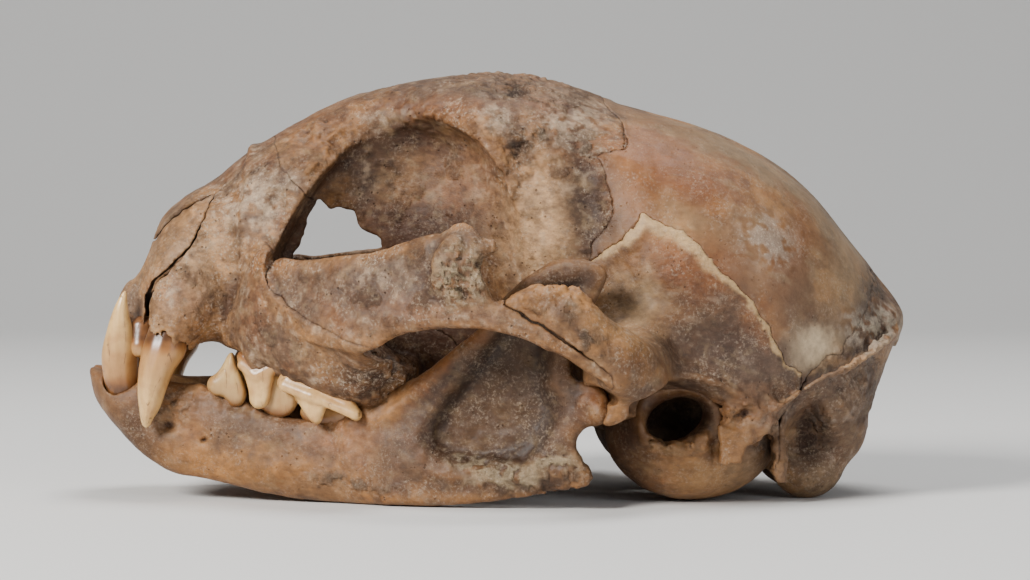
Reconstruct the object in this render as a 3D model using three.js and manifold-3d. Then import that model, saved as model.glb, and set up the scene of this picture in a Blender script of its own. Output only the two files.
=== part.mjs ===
// A life-size skull of an adult domestic cat with its lower jaw, mouth almost closed.
// Millimetres. Nose towards -X, left side towards -Y, +Z up, resting on the floor at z = 0.

import * as THREE from "three";
import { LoftGeometry } from "three/addons/geometries/LoftGeometry.js";
import { mergeVertices } from "three/addons/utils/BufferGeometryUtils.js";
import Module from "manifold-3d";

const library = await Module();
library.setup();

// Driving sizes
const noseX = -45.6; // front of the upper jaw
const napeX = 49; // rearmost point of the nuchal crest
const crownZ = 50.4; // highest point of the forehead
const archHalf = 33.5; // half the breadth across the cheek arches
const braincaseHalf = 22.2; // half the breadth of the braincase
const waistHalf = 17.2; // half the breadth behind the eye sockets
const socketHalf = 9.7; // half the breadth between the eye sockets
const jawThickness = 2.8;
const archThickness = 2.8;
const archMiddle = archThickness / 2 - archHalf; // middle of the left arch where it is widest
const sutureGap = 0.36; // open seam between two bones, and between a tooth and its socket
const restFlat = 0.12; // what is trimmed off below to make the resting flats
const finest = 0.22; // details smaller than this are simplified away
const sharpestCorner = 0.8; // limits how far a sharp corner of a seam moves when the seam is widened
const outside = 45; // further sideways than any bone reaches
const pastMiddle = 5; // across the midline, where the halves are trimmed apart afterwards

// Colours of the dry bone and of the enamel
const boneColour = "#8f7458";
const enamelColour = "#d8bd93";

// ---------- Helpers ----------

// A smooth curve through [place, value] pairs, read at any place.
function smooth(...pairs) {
  const places = Float64Array.from(pairs, ([place]) => place);
  const values = Float64Array.from(pairs, ([, value]) => value);
  const curve = new THREE.CubicInterpolant(places, values, 1);
  return (place) => {
    const inside = THREE.MathUtils.clamp(place, places[0], places.at(-1));
    return curve.evaluate(inside)[0];
  };
}

// A closed three.js geometry as a solid that booleans can work on.
function solid(geometry) {
  const bare = new THREE.BufferGeometry().setAttribute("position", geometry.attributes.position);
  const merged = mergeVertices(bare.setIndex(geometry.index), 1e-4);
  const faces = new Uint32Array(merged.index.array);
  const points = merged.attributes.position.array;
  const mesh = new library.Mesh({ numProp: 3, vertProperties: points, triVerts: faces });
  const made = new library.Manifold(mesh);
  if (made.volume() > 0) {
    return made;
  }
  const turned = new library.Mesh({ numProp: 3, vertProperties: points, triVerts: faces.reverse() });
  return new library.Manifold(turned);
}

// A closed body through a row of rings, each ring a loop of points.
function loft(rings) {
  const [first, last] = [rings[0], rings.at(-1)];
  const normal = new THREE.Vector3();
  const cross = new THREE.Vector3();
  first.forEach((point, i) => normal.add(cross.crossVectors(point, first[(i + 1) % first.length])));
  const total = (ring) => ring.reduce((sum, point) => sum.add(point), new THREE.Vector3());
  const centre = (ring) => total(ring).divideScalar(ring.length);
  const onwards = centre(last).sub(centre(first));
  const facing = normal.dot(onwards) > 0 ? rings : rings.map((ring) => ring.toReversed());
  return solid(new LoftGeometry(facing, { closed: true, capStart: true, capEnd: true }));
}

// The solid back as a three.js geometry.
function geometryOf(made) {
  const { vertProperties, triVerts } = made.getMesh();
  const geometry = new THREE.BufferGeometry();
  geometry.setAttribute("position", new THREE.BufferAttribute(vertProperties, 3));
  geometry.setIndex(new THREE.BufferAttribute(triVerts, 1));
  return geometry.toNonIndexed();
}

// Which way a ring's own two directions, across and up, lie when a body runs along x, y or z.
const ringPlace = {
  x: (along, across, up) => new THREE.Vector3(along, across, up),
  y: (along, across, up) => new THREE.Vector3(across, along, up),
  z: (along, across, up) => new THREE.Vector3(across, up, along),
};

// A closed body along an axis. Its rings are rounded outlines between low and high, widest at
// the waist. Every field is a number or a smooth curve, square 1 is an ellipse and 0.5 is boxy.
function body(axis, from, to, steps, fields) {
  const { ring = 20, middle = 0, half, low, high, waist, lean = 0, grow = 0 } = fields;
  const { squareTop = 0.9, squareBottom = 0.9 } = fields;
  const read = (field, place) => (typeof field === "function" ? field(place) : field);
  const rings = [];
  for (let i = 0; i <= steps; i += 1) {
    const place = from + ((to - from) * i) / steps;
    const bottom = read(low, place) - grow;
    const top = read(high, place) + grow;
    const wide = waist === undefined ? (bottom + top) / 2 : read(waist, place);
    const points = [];
    for (let j = 0; j < ring; j += 1) {
      const angle = (2 * Math.PI * j) / ring;
      const across = Math.cos(angle);
      const up = Math.sin(angle);
      const square = read(up > 0 ? squareTop : squareBottom, place);
      const reach = Math.sign(across) * Math.abs(across) ** square * (read(half, place) + grow);
      const rise = Math.abs(up) ** square * (up > 0 ? top - wide : bottom - wide);
      const shift = read(middle, place) + read(lean, place) * rise;
      points.push(ringPlace[axis](place, shift + reach, wide + rise));
    }
    rings.push(points);
  }
  return loft(rings);
}

// An ellipsoid, turned about z by a number of degrees.
function ellipsoid(centre, radii, turn = 0, detail = 16) {
  const geometry = new THREE.SphereGeometry(1, detail, Math.round(detail / 2));
  geometry.rotateX(Math.PI / 2);
  geometry.scale(...radii);
  geometry.rotateZ(THREE.MathUtils.degToRad(turn));
  geometry.translate(...centre);
  return solid(geometry);
}

// A side outline of [x, z] pairs.
function outline(points) {
  return new THREE.Shape(points.map(([x, z]) => new THREE.Vector2(x, z)));
}

// A plate with a side outline, from y = near down to y = far, with bevelled edges.
function sidePlate(shape, near, far, bevel = 0) {
  const geometry = new THREE.ExtrudeGeometry(shape, {
    depth: near - far - 2 * bevel,
    bevelEnabled: bevel > 0,
    bevelThickness: bevel,
    bevelSize: bevel,
    bevelOffset: -bevel,
    bevelSegments: 1,
  });
  geometry.rotateX(Math.PI / 2);
  geometry.translate(0, near - bevel, 0);
  return solid(geometry);
}

// The outline moved outwards by a distance, each corner along the mean of its two edges.
function grown(points, distance) {
  const area = points.reduce((sum, [x, z], i) => {
    const [nextX, nextZ] = points[(i + 1) % points.length];
    return sum + x * nextZ - nextX * z;
  }, 0);
  const side = Math.sign(area) * distance;
  const normal = ([x, z], [nextX, nextZ]) => {
    const length = Math.hypot(nextX - x, nextZ - z);
    return [(nextZ - z) / length, (x - nextX) / length];
  };
  return points.map((point, i) => {
    const before = normal(points.at(i - 1), point);
    const after = normal(point, points[(i + 1) % points.length]);
    const sum = [before[0] + after[0], before[1] + after[1]];
    const scale = (2 * side) / Math.max(sum[0] ** 2 + sum[1] ** 2, sharpestCorner);
    return [point[0] + sum[0] * scale, point[1] + sum[1] * scale];
  });
}

// Parts a solid along a side outline, leaving the seam's gap: what lies within it, and the rest.
function part(whole, points, near, far) {
  const within = sidePlate(outline(points), near, far);
  const cutter = sidePlate(outline(grown(points, sutureGap)), near + sutureGap, far - sutureGap);
  return [whole.intersect(within), whole.subtract(cutter)];
}

// The biggest single body of a solid, without crumbs.
function biggest(made) {
  return made.decompose().sort((a, b) => b.volume() - a.volume())[0];
}

// A shift sideways by y at x = 0, which moves outwards by slope with each millimetre of x.
function sheared(slope, y) {
  const lean = new THREE.Matrix4().makeShear(-slope, 0, 0, 0, 0, 0);
  return lean.setPosition(0, y, 0).elements;
}

const mirrored = (made) => made.mirror([0, 1, 0]);
const withMirror = (made) => made.add(mirrored(made));
const together = (...solids) => solids.reduce((sum, next) => sum.add(next));

// ---------- Outer shape of the skull without its lower jaw ----------

// Height of the bone along the midline, from the nose to the nape.
const dorsalLine = smooth(
  [noseX, 23.6], [-44.6, 26.2], [-43.2, 27.6], [-41.7, 30.4], [-40.4, 33], [-37.9, 35.5], [-34.2, 37.7],
  [-30.6, 40.6], [-27, 42.9], [-23.4, 44.9], [-18.5, 47.3], [-14, 48.6], [-8.8, 49.7], [2, crownZ],
  [7.5, 49.4], [13, 47.5], [18.4, 45.9], [23.8, 44.2], [29.3, 41.9], [34.7, 38.7], [38.4, 35.4],
  [42, 30.9], [45.6, 26.3], [48, 22.8], [napeX, 20.5],
);

// Height of the upper jaw's lower edge.
const toothLine = smooth(
  [noseX, 21.2], [-43.4, 20.6], [-40.9, 20.4], [-36.9, 19], [-31.3, 17.7], [-28, 16.4], [-26, 15.4],
  [-22, 13.8], [-18.7, 12.6], [-16, 12], [-12, 13.4],
);

// The dome of the braincase.
function braincase() {
  return body("x", -6, 47.4, 14, {
    ring: 18,
    half: smooth(
      [-6, 10], [-2, 12.8], [2, 15.4], [6, waistHalf], [10, 17.7], [14, 19.8], [18, 21.6],
      [22, braincaseHalf], [27, 21.8], [32, 20.2], [37, 17], [41, 13.4], [44, 9.6], [46.2, 6], [47.4, 3.5],
    ),
    high: (x) => dorsalLine(x) - 0.3,
    waist: smooth([-6, 33], [2, 31], [8, 28.5], [14, 26], [22, 24], [30, 22.5], [38, 20.5], [47.4, 19]),
    low: smooth(
      [-6, 24], [2, 17], [8, 11.5], [14, 8.6], [22, 7], [34, 6], [41, 7], [44, 9], [47.4, 16.5],
    ),
    squareTop: 0.92,
    squareBottom: smooth([-6, 0.9], [10, 0.62], [24, 0.5], [38, 0.6], [47, 0.9]),
  });
}

// The forehead, whose lower edges are the upper rims of the eye sockets.
function forehead() {
  return body("x", -30, 14, 14, {
    ring: 16,
    half: smooth(
      [-30, 11.4], [-26, 11], [-22, 10.4], [-18, socketHalf], [-14, socketHalf], [-10, 11.4], [-6, 14],
      [-2.5, 16.6], [0, 17.2], [3, 16.8], [8, 16.4], [14, 16],
    ),
    high: dorsalLine,
    waist: smooth(
      [-30, 32], [-26, 34.5], [-22, 38], [-17, 42.4], [-12, 44.2], [-7, 43.4], [-3, 40.6], [0, 37.6],
      [14, 36],
    ),
    low: smooth([-30, 26], [-20, 27], [-10, 28], [-4, 27], [0, 24], [14, 24]),
    squareTop: smooth([-30, 0.8], [0, 0.8], [8, 0.92], [14, 1.05]),
    squareBottom: 0.62,
  });
}

// The muzzle from the front teeth to the eye sockets.
function muzzle() {
  return body("x", noseX, -16, 12, {
    ring: 16,
    half: smooth(
      [noseX, 3.4], [-44.8, 4.8], [-43.4, 5.8], [-42, 7.2], [-40.6, 9.8], [-38.4, 11.4], [-35.6, 11.1],
      [-32.6, 10.6], [-29.6, 12.2], [-26, 14.4], [-22, 14.4], [-16, 12],
    ),
    high: dorsalLine,
    waist: smooth([noseX, 22.6], [-41, 23.4], [-36, 24], [-30, 24.5], [-22, 25], [-16, 26]),
    low: toothLine,
    squareTop: 0.86,
    squareBottom: 0.5,
  });
}

// The swelling over the root of the left upper canine.
function canineSwelling() {
  return body("z", 18.6, 33, 4, {
    ring: 10,
    middle: smooth([18.6, -38.6], [25, -36.6], [33, -33.4]),
    half: smooth([18.6, 3.3], [25, 3.1], [33, 1.2]),
    low: smooth([18.6, -13.2], [25, -12.1], [33, -8.6]),
    high: -6,
  });
}

// The left cheek: tooth sockets and the root of the arch.
function cheek() {
  return body("x", -31, -10.6, 8, {
    ring: 14,
    middle: smooth([-31, -8.6], [-27, -11.6], [-23, -13.2], [-16, -13.6], [-10.6, -13.4]),
    half: smooth([-31, 2.4], [-27, 5.4], [-23, 6.6], [-19, 6.9], [-15, 5.6], [-10.6, 2.2]),
    high: smooth([-31, 22], [-28, 28.3], [-25, 28], [-21, 25], [-16, 20.6], [-12.6, 17.4], [-10.6, 15.4]),
    low: (x) => toothLine(x) + (x > -12 ? 0.6 : 0),
    squareTop: 0.6,
    squareBottom: 0.5,
  });
}

// The left arch's root: a sloping plate from the tooth sockets out and up to the cheekbone.
function archRoot() {
  const foot = smooth([-29, 12.6], [-27, 13.8], [-24, 15.6], [-20, 17.8], [-16, 18.9], [-12, 18.4]);
  const flare = smooth([-29, 0.15], [-27, 0.26], [-24, 0.46], [-20, 0.75], [-16, 1.15], [-12, 1.3]);
  const top = smooth(
    [-29, 25.4], [-27.6, 28], [-26, 28.2], [-24.2, 24.8], [-21.4, 22.8], [-18, 21], [-15.4, 19.4],
    [-12, 16.6],
  );
  const plate = 2; // half its thickness, measured sideways
  return body("x", -29, -12, 8, {
    ring: 10,
    middle: (x) => plate - foot(x) - flare(x) * (top(x) / 2 - toothLine(x) / 2),
    half: plate,
    high: top,
    low: (x) => toothLine(x) + 0.2,
    lean: (x) => -flare(x),
    squareTop: 0.5,
    squareBottom: 0.5,
  });
}

// The wall between the eye sockets, which widens into the front of the braincase.
function middleWall() {
  return body("x", -30, 16, 10, {
    ring: 14,
    half: smooth([-30, 8], [-22, 8], [-14, 7.4], [-7, 8], [-2, 10], [3, 12.6], [8, 15], [16, 18]),
    high: 42,
    waist: smooth([-30, 30], [16, 26]),
    low: smooth([-30, 18], [-22, 16.4], [-13, 14.4], [-9, 13], [-4, 11.6], [6, 9.6], [16, 8]),
    squareTop: 0.5,
    squareBottom: smooth([-30, 0.5], [-6, 0.55], [4, 1.1], [16, 0.8]),
  });
}

// The hard palate between the tooth rows.
function palate() {
  return body("x", -44, -8.6, 7, {
    ring: 12,
    half: smooth(
      [-44, 4.6], [-40, 7.6], [-34, 8.8], [-28, 10.4], [-22, 13], [-16, 14], [-12, 10.5], [-8.6, 6],
    ),
    high: smooth([-44, 24.6], [-30, 22.6], [-20, 19], [-8.6, 16.4]),
    low: smooth([-44, 22], [-36, 20.6], [-28, 18.6], [-20, 15.8], [-8.6, 13]),
    squareTop: 0.5,
    squareBottom: 0.5,
  });
}

// The floor of the braincase between the ear bullae.
function skullBase() {
  return body("x", -7, 38.6, 9, {
    ring: 12,
    half: smooth([-7, 5.6], [6, 6.2], [12, 7], [20, 6.4], [28, 7.6], [34, 10], [38.6, 9]),
    high: 17,
    waist: smooth([-7, 13.6], [14, 10.5], [38.6, 8]),
    low: smooth([-7, 12.4], [6, 9.6], [14, 7.4], [24, 5], [32, 3.2], [38.6, 4.2]),
    squareTop: 0.5,
    squareBottom: 0.5,
  });
}

// The left wing of bone beside the passage behind the palate, with its hook.
function palateWing() {
  const wing = outline([
    [-9.5, 14.5], [-8.4, 11.8], [0, 9.4], [6.4, 6.6], [8.6, 5.4], [9.4, 6.4], [8.2, 9.4], [9, 12], [0, 15],
  ]);
  return sidePlate(wing, -3.8, -5.2, 0.2);
}

// The shelf and root of the left cheek arch, with the hollow socket of the jaw joint.
function jawSocket() {
  const root = body("y", -33, -16, 7, {
    ring: 12,
    middle: smooth([-33, 10.6], [-30, 12.2], [-26, 13.8], [-21, 15.2], [-16, 15.6]),
    half: smooth([-33, 1.6], [-30, 3.8], [-26, 4.7], [-21, 5.8], [-16, 8.6]),
    high: smooth([-33, 19.4], [-30, 20], [-25, 18.2], [-21, 18.4], [-16, 21]),
    low: smooth([-33, 14.4], [-29, 12.8], [-24, 11.4], [-16, 9]),
    squareTop: 0.8,
    squareBottom: 0.8,
  });
  const stop = sidePlate(
    outline([[10.6, 15], [12.2, 12.4], [11.2, 10.2], [12.2, 9.8], [15.4, 11.4], [18, 13], [16, 16]]),
    -17.5,
    -28.4,
    0.5,
  );
  return root.add(stop);
}

// The left side's shelf above the ear opening.
function earShelf() {
  return body("x", 13, 31, 6, {
    ring: 10,
    middle: smooth([13, -21], [18, -20], [24, -19.4], [31, -18.4]),
    half: smooth([13, 2.8], [20, 3], [31, 1.6]),
    high: smooth([13, 17.4], [20, 17.8], [26, 16.8], [31, 13]),
    low: smooth([13, 12.2], [17, 13.6], [22, 14], [26, 12.2], [31, 8.4]),
  });
}

// The left process beside the ear bulla: the mastoid in front and the thin strip behind it.
function earProcesses() {
  const mastoid = body("x", 23, 31.4, 4, {
    ring: 10,
    middle: smooth([23, -18], [27, -18.6], [31.4, -18.2]),
    half: smooth([23, 1.4], [27, 2.6], [31.4, 1.2]),
    high: 15,
    low: smooth([23, 7.6], [26.5, 6.8], [31.4, 8.8]),
  });
  const side = outline([[30.6, 13], [34.4, 13.4], [33.2, 8], [33, 2.2], [31.8, 2.4], [31.4, 7]]);
  const strip = sidePlate(side, -13.6, -17.8, 0.4);
  return mastoid.add(strip);
}

// The raised crest round the nape, as half a loop on the left side.
function napeCrest() {
  const places = [
    [47.2, 2, 20.6], [46.6, -5, 19.7], [44.4, -10.4, 17.9], [40.4, -15, 15.6], [36, -17.8, 13.8],
    [31.6, -19.2, 11.6], [28.6, -19.6, 10.4],
  ];
  const path = new THREE.CatmullRomCurve3(places.map((place) => new THREE.Vector3(...place)));
  const section = outline([[-1.4, -0.9], [-1.4, 0.9], [1.4, 1.2], [1.4, -1.2]]);
  return solid(new THREE.ExtrudeGeometry(section, { steps: 7, bevelEnabled: false, extrudePath: path }));
}

// The knob where the crests meet above the nape.
function napeKnob() {
  return ellipsoid([45.6, 0, 20.9], [napeX - 45.6, 7.4, 3.2], 0, 12);
}

// The low crest along the midline of the braincase.
function midCrest() {
  return body("x", 22, napeX - 0.8, 7, {
    ring: 6,
    half: smooth([22, 0.8], [34, 1.3], [napeX - 0.8, 2.2]),
    high: dorsalLine,
    low: (x) => dorsalLine(x) - 5,
    squareTop: 0.7,
  });
}

// The back plate of the skull below the crest, down to the neck joint.
function napePlate() {
  return body("z", 3.4, 20, 5, {
    ring: 14,
    middle: smooth([3.4, 34], [20, 38]),
    half: smooth([3.4, 7], [7, 9.6], [10, 9.6], [16, 8.8], [20, 9.6]),
    low: smooth([3.4, -10], [8, -13.6], [13, -15.6], [20, -11]),
    high: smooth([3.4, 10], [8, 13.6], [13, 15.6], [20, 11]),
    squareTop: 0.9,
    squareBottom: 0.9,
  });
}

// The left rounded knuckle of the neck joint.
function neckKnuckle() {
  const main = ellipsoid([36.6, -8.4, 4.5], [4.8, 3.6, 4.7], 24, 12);
  const upper = ellipsoid([40.4, -8, 7.6], [3.4, 2.8, 3.8], 30, 10);
  return main.add(upper);
}

// The opening for the spinal cord, tapering forwards into the braincase.
function spinalOpening() {
  return body("x", 31, 50, 4, {
    ring: 12,
    half: smooth([31, 3], [36, 5.4], [42, 6.2], [50, 6.8]),
    high: smooth([31, 9.5], [36, 11], [42, 11.6], [50, 12.6]),
    low: smooth([31, 6], [36, 4.4], [39, 3.6], [50, -1]),
  });
}

// The nasal passage from the nose opening to the back of the palate.
function nasalPassage() {
  return body("x", noseX - 1, -13, 7, {
    ring: 10,
    half: smooth([noseX - 1, 3.2], [-43, 4.6], [-38, 5.2], [-30, 5.8], [-13, 5.2]),
    high: smooth([noseX - 1, 29], [-42, 32], [-37, 33.6], [-30, 37], [-22, 38.6], [-13, 36]),
    low: smooth([noseX - 1, 23.6], [-38, 24.4], [-30, 23], [-20, 22], [-13, 24]),
    squareTop: 0.8,
    squareBottom: 0.7,
  });
}

// The broken gap through the thin walls between the two eye sockets.
function wallBreach() {
  const gap = [
    [-24.6, 27.8], [-23.4, 30.6], [-22.3, 33.4], [-21.3, 35], [-18.8, 34.3], [-17.1, 34], [-16.5, 32.3],
    [-14.1, 30.3], [-14.6, 28.6], [-16, 27],
  ];
  return sidePlate(outline(gap), 15, -15);
}

// The passage behind the palate, open downwards.
function throatGroove() {
  return body("x", -9.2, 10, 5, {
    ring: 10,
    half: smooth([-9.2, 3.4], [0, 3.8], [10, 2.2]),
    high: smooth([-9.2, 15.6], [0, 13.6], [10, 9.4]),
    low: 2,
    squareTop: 0.6,
  });
}

// The left eye socket: a bowl whose rings follow its rim and shrink inwards.
function eyeSocket() {
  const rim = [
    [-26.8, 27], [-25.6, 31], [-22.6, 36.4], [-19.4, 40.6], [-16, 43.6], [-12, 45.2], [-8, 45.2],
    [-4.6, 43.6], [-1.6, 40.8], [0.6, 37], [2.4, 32], [4, 27], [2, 20], [-6, 17.4], [-16, 19.4],
    [-23.6, 22.6],
  ];
  const loop = new THREE.CatmullRomCurve3(rim.map(([x, z]) => new THREE.Vector3(x, 0, z)), true);
  const middleX = -11;
  const middleZ = 32;
  const depths = [
    { y: -40, size: 1.25, centreX: -11, centreZ: 32 },
    { y: -22, size: 1.08, centreX: -11, centreZ: 32 },
    { y: -15, size: 1, centreX: -11, centreZ: 32 },
    { y: -11, size: 0.9, centreX: -11.6, centreZ: 32 },
    { y: -9, size: 0.74, centreX: -13, centreZ: 31 },
    { y: -8, size: 0.5, centreX: -14, centreZ: 31 },
  ];
  const rimPoints = loop.getPoints(18).slice(0, -1);
  const rings = depths.map(({ y, size, centreX, centreZ }) => rimPoints.map(({ x, z }) => {
    const across = centreX + (x - middleX) * size;
    return new THREE.Vector3(across, y, centreZ + (z - middleZ) * size);
  }));
  return loft(rings);
}

// The left ear bulla, an egg-shaped bone shell below the ear opening.
function bullaShape(grow = 0) {
  const egg = ellipsoid([22.6, -12.9, 8.4], [10.6 + grow, 6.7 + grow, 8.3 + grow], 12, 18);
  const neck = body("y", -20.6 - grow, -13, 3, {
    ring: 12,
    grow,
    middle: 20.2,
    half: smooth([-20.6, 4.4], [-13, 5.4]),
    low: smooth([-20.6, 7], [-13, 5.6]),
    high: smooth([-20.6, 13.4], [-13, 14]),
  });
  return egg.add(neck);
}

// The left ear opening, running down into the bulla.
function earOpening() {
  return body("y", -24, -11.5, 3, {
    ring: 12,
    middle: smooth([-24, 20.1], [-11.5, 20.6]),
    half: smooth([-24, 3.6], [-18, 3.3], [-11.5, 2.8]),
    low: smooth([-24, 7.8], [-18, 7.9], [-11.5, 7.4]),
    high: smooth([-24, 12.6], [-18, 12.3], [-11.5, 11.6]),
  });
}

// ---------- Cheek arch ----------

// The left cheekbone, from the upper jaw to the jaw joint.
function cheekboneShape(grow = 0) {
  const thick = archThickness / 2;
  const thin = archThickness / 3;
  return body("x", -26.6 - grow, 11.8 + grow, 18, {
    ring: 8,
    grow,
    middle: smooth(
      [-26.6, -15.8], [-24, -18.3], [-20, -21.9], [-15, -25.4], [-8, -28.9], [0, -31.2], [6, archMiddle],
      [11.8, -32],
    ),
    half: smooth([-26.6, thick + 0.5], [-18, thick], [4, thick], [11.8, thin]),
    high: smooth(
      [-26.6, 27.9], [-22.8, 28.2], [-18.3, 28.8], [-14.9, 29.2], [-11.6, 30.2], [-7.1, 31.5], [-3.8, 31.7],
      [-2.5, 28.6], [-1.6, 24.6], [0, 23.2], [2.9, 21.5], [6.2, 19.7], [9, 17.7], [11.8, 15.4],
    ),
    low: smooth(
      [-26.6, 26.4], [-24.6, 23.4], [-21.8, 21.4], [-18.4, 19.4], [-16, 18.4], [-14.1, 18.9], [-12, 20],
      [-9.5, 20.5], [0, 20.3], [2.9, 19.4], [6.2, 18], [9, 16.2], [11.8, 13.9],
    ),
    lean: smooth([-26.6, 0.3], [-12, 0.15], [0, 0]),
    squareTop: 0.6,
    squareBottom: 0.6,
  });
}

// The left arch piece that comes forwards from the jaw joint over the cheekbone.
function archProcess() {
  return body("x", 0, 18.6, 9, {
    ring: 8,
    middle: smooth([0, -31.4], [6, archMiddle], [11, -31.6], [15, -29], [18.6, -25]),
    half: smooth([0, archThickness / 3], [5, archThickness / 2], [12, 1.9], [18.6, 2.4]),
    high: smooth(
      [0, 23.9], [2.6, 25.2], [4.6, 25.6], [7.9, 25.1], [9.6, 23.8], [11.8, 22], [14.1, 20.5], [16.4, 18.4],
      [18.6, 16],
    ),
    low: smooth([0, 23.4], [2.9, 21.9], [6.2, 20.1], [9, 18.1], [11, 15], [14, 13.6], [18.6, 12.6]),
    squareTop: 0.7,
    squareBottom: 0.7,
  });
}

// ---------- Canine teeth ----------

// The left upper canine, curving down from its socket.
function upperCanine(grow = 0) {
  return body("z", 8.5 - grow, 23 + grow, 7, {
    ring: 10,
    grow,
    middle: smooth([8.5, -41.4], [12, -41], [16, -39.9], [20, -38.7], [23, -37.8]),
    half: smooth([8.5, 0.35], [9.4, 1], [12, 1.75], [16, 2.5], [19, 2.9], [23, 2.5]),
    low: smooth([8.5, -11.4], [9.4, -12], [12, -12.7], [16, -13.1], [19, -13.2], [23, -12.4]),
    high: smooth([8.5, -10.9], [9.4, -10.2], [12, -9.6], [16, -8.9], [19, -8.5], [23, -8.2]),
  });
}

// The left lower canine, curving up in front of the upper one.
function lowerCanine(grow = 0) {
  return body("z", 10 - grow, 24.5 + grow, 7, {
    ring: 10,
    grow,
    middle: smooth([10, -43.6], [13.4, -44.9], [17, -45.1], [21, -45.1], [23.6, -44.7], [24.5, -44.5]),
    half: smooth([10, 2.1], [13.4, 2.3], [17, 2.15], [21, 1.4], [23.6, 0.65], [24.5, 0.25]),
    low: smooth([10, -7.2], [13.4, -8], [17, -8.9], [21, -9.1], [23.6, -8.8], [24.5, -8.5]),
    high: smooth([10, -4], [13.4, -4.3], [17, -5.2], [21, -6.7], [23.6, -7.7], [24.5, -8.1]),
  });
}

// ---------- Cheek and front teeth, grown into their bones ----------

// One blade tooth on the left side, from its side outline. The tooth rows part towards the rear.
function bladeTooth(points, middleY, thickness) {
  const rowSlope = 0.3;
  const middleX = points.reduce((sum, [x]) => sum + x, 0) / points.length;
  const plate = sidePlate(outline(points), thickness / 2, -thickness / 2, 0.5);
  return plate.transform(sheared(rowSlope, middleY + rowSlope * middleX));
}

function upperTeeth() {
  const premolarSide = [
    [-31, 17.6], [-30.5, 15.6], [-29.5, 13.4], [-28.2, 11.1], [-26.8, 13], [-25.6, 14.9], [-25.4, 16.6],
  ];
  const carnassialSide = [
    [-25.6, 16], [-25.2, 13.6], [-23.8, 12.8], [-21.6, 9.4], [-19.8, 11.6], [-18.2, 9.9], [-16.2, 9.4],
    [-15.9, 11], [-16.6, 13.4],
  ];
  const premolar = bladeTooth(premolarSide, -14.8, 2.8);
  const carnassial = bladeTooth(carnassialSide, -17.7, 3);
  const molar = ellipsoid([-14.6, -13.6, 12.6], [1.3, 2.3, 1.2], 0, 6);
  return together(premolar, carnassial, molar);
}

function lowerTeeth() {
  const frontSide = [
    [-34.6, 12], [-34.2, 14.6], [-33, 15.2], [-31.6, 17.2], [-30.4, 14.8], [-29.8, 12.4], [-29.6, 10.6],
  ];
  const middleSide = [[-28.8, 10], [-28.8, 12.4], [-26.6, 14.6], [-24.8, 12.8], [-23.8, 12.4], [-23.4, 9]];
  const rearSide = [
    [-22.8, 8.6], [-22.6, 11], [-20.8, 12.6], [-19, 11.2], [-17, 11.7], [-15.6, 10.8], [-15.8, 9.4],
  ];
  return together(
    bladeTooth(frontSide, -10.4, 2.4),
    bladeTooth(middleSide, -11.8, 2.4),
    bladeTooth(rearSide, -13.6, 2.2),
  );
}

// Three left front teeth in a row that starts at the midline, of growing size.
function frontTeeth(x, z, drop) {
  const teeth = [0, 1, 2].map((i) => {
    const size = 0.62 + 0.2 * i;
    const centre = [x + 0.55 * i * i, -1 - 1.45 * i, z + 0.25 * drop * i];
    return ellipsoid(centre, [size, size * 0.9, 1.5 + 0.35 * i], 0, 6);
  });
  return together(...teeth);
}

// ---------- Lower jaw ----------

// The left half of the lower jaw, without its canine.
function jawHalf() {
  const lowerEdge = smooth(
    [-49, 14.2], [-48.2, 11.8], [-46.8, 9.6], [-45, 7.6], [-42, 4.8], [-39, 3.1], [-34.7, 2.4], [-31, 1.6],
    [-27.8, 0.9], [-24, 0.3], [-21, 0], [-4, 0], [0, 0.6],
  );
  const front = body("x", -49, -8, 14, {
    ring: 10,
    middle: smooth(
      [-49, -1.9], [-47.6, -3.2], [-45, -4.9], [-42, -6.2], [-38, -7.9], [-34, -9.4], [-30, -10.7],
      [-25, -12], [-20, -13.6], [-14, -16.4], [-8, -18.7],
    ),
    half: smooth(
      [-49, 1.4], [-47.6, 2.9], [-45, 3.4], [-42, 3], [-38, 2.6], [-30, 2.4], [-20, 2.3], [-14, 1.9],
      [-8, jawThickness / 2],
    ),
    high: smooth(
      [-49, 15.4], [-47.6, 14.8], [-45, 13.9], [-42, 14.1], [-38, 13.6], [-34, 13.2], [-30, 11.4],
      [-26, 10.2], [-21, 9.6], [-18, 10.4], [-15, 11.7], [-8, 12.5],
    ),
    low: lowerEdge,
    squareTop: 0.7,
    squareBottom: 0.75,
  });
  const symphysis = body("x", -47.8, -38.6, 4, {
    ring: 10,
    middle: -2.4,
    half: smooth([-47.8, 1.4], [-45, 2.2], [-38.6, 1]),
    high: smooth([-47.8, 14.4], [-42, 12], [-38.6, 8]),
    low: smooth([-47.8, 11.6], [-45, 7.8], [-42, 5.4], [-38.6, 5]),
  });
  const branch = sidePlate(
    outline([
      [-14, 0.4], [-14, 11.8], [-8.2, 15.8], [-5.3, 18.1], [-2.5, 20], [-0.2, 23.2], [2.1, 25.6], [5.4, 28],
      [8.3, 28.5], [10.9, 28], [11.9, 26.7], [11.2, 24.9], [10, 22.4], [8.6, 19.4], [7.6, 16.4], [8.6, 14.6],
      [11.2, 14.2], [11.6, 10.6], [9.6, 9.5], [8.6, 8.4], [8.4, 7], [9.4, 5.2], [10.2, 4.4], [9.6, 3.2],
      [6, 2.2], [1.6, 1.4], [-4, 0.4], [-10, 0],
    ]),
    jawThickness / 2,
    -jawThickness / 2,
    0.5,
  );
  const branchSlope = 0.255; // the branches part towards the rear
  const branchMiddle = -21.2;
  return together(front, symphysis, branch.transform(sheared(branchSlope, branchMiddle)), jawKnuckle());
}

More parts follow.
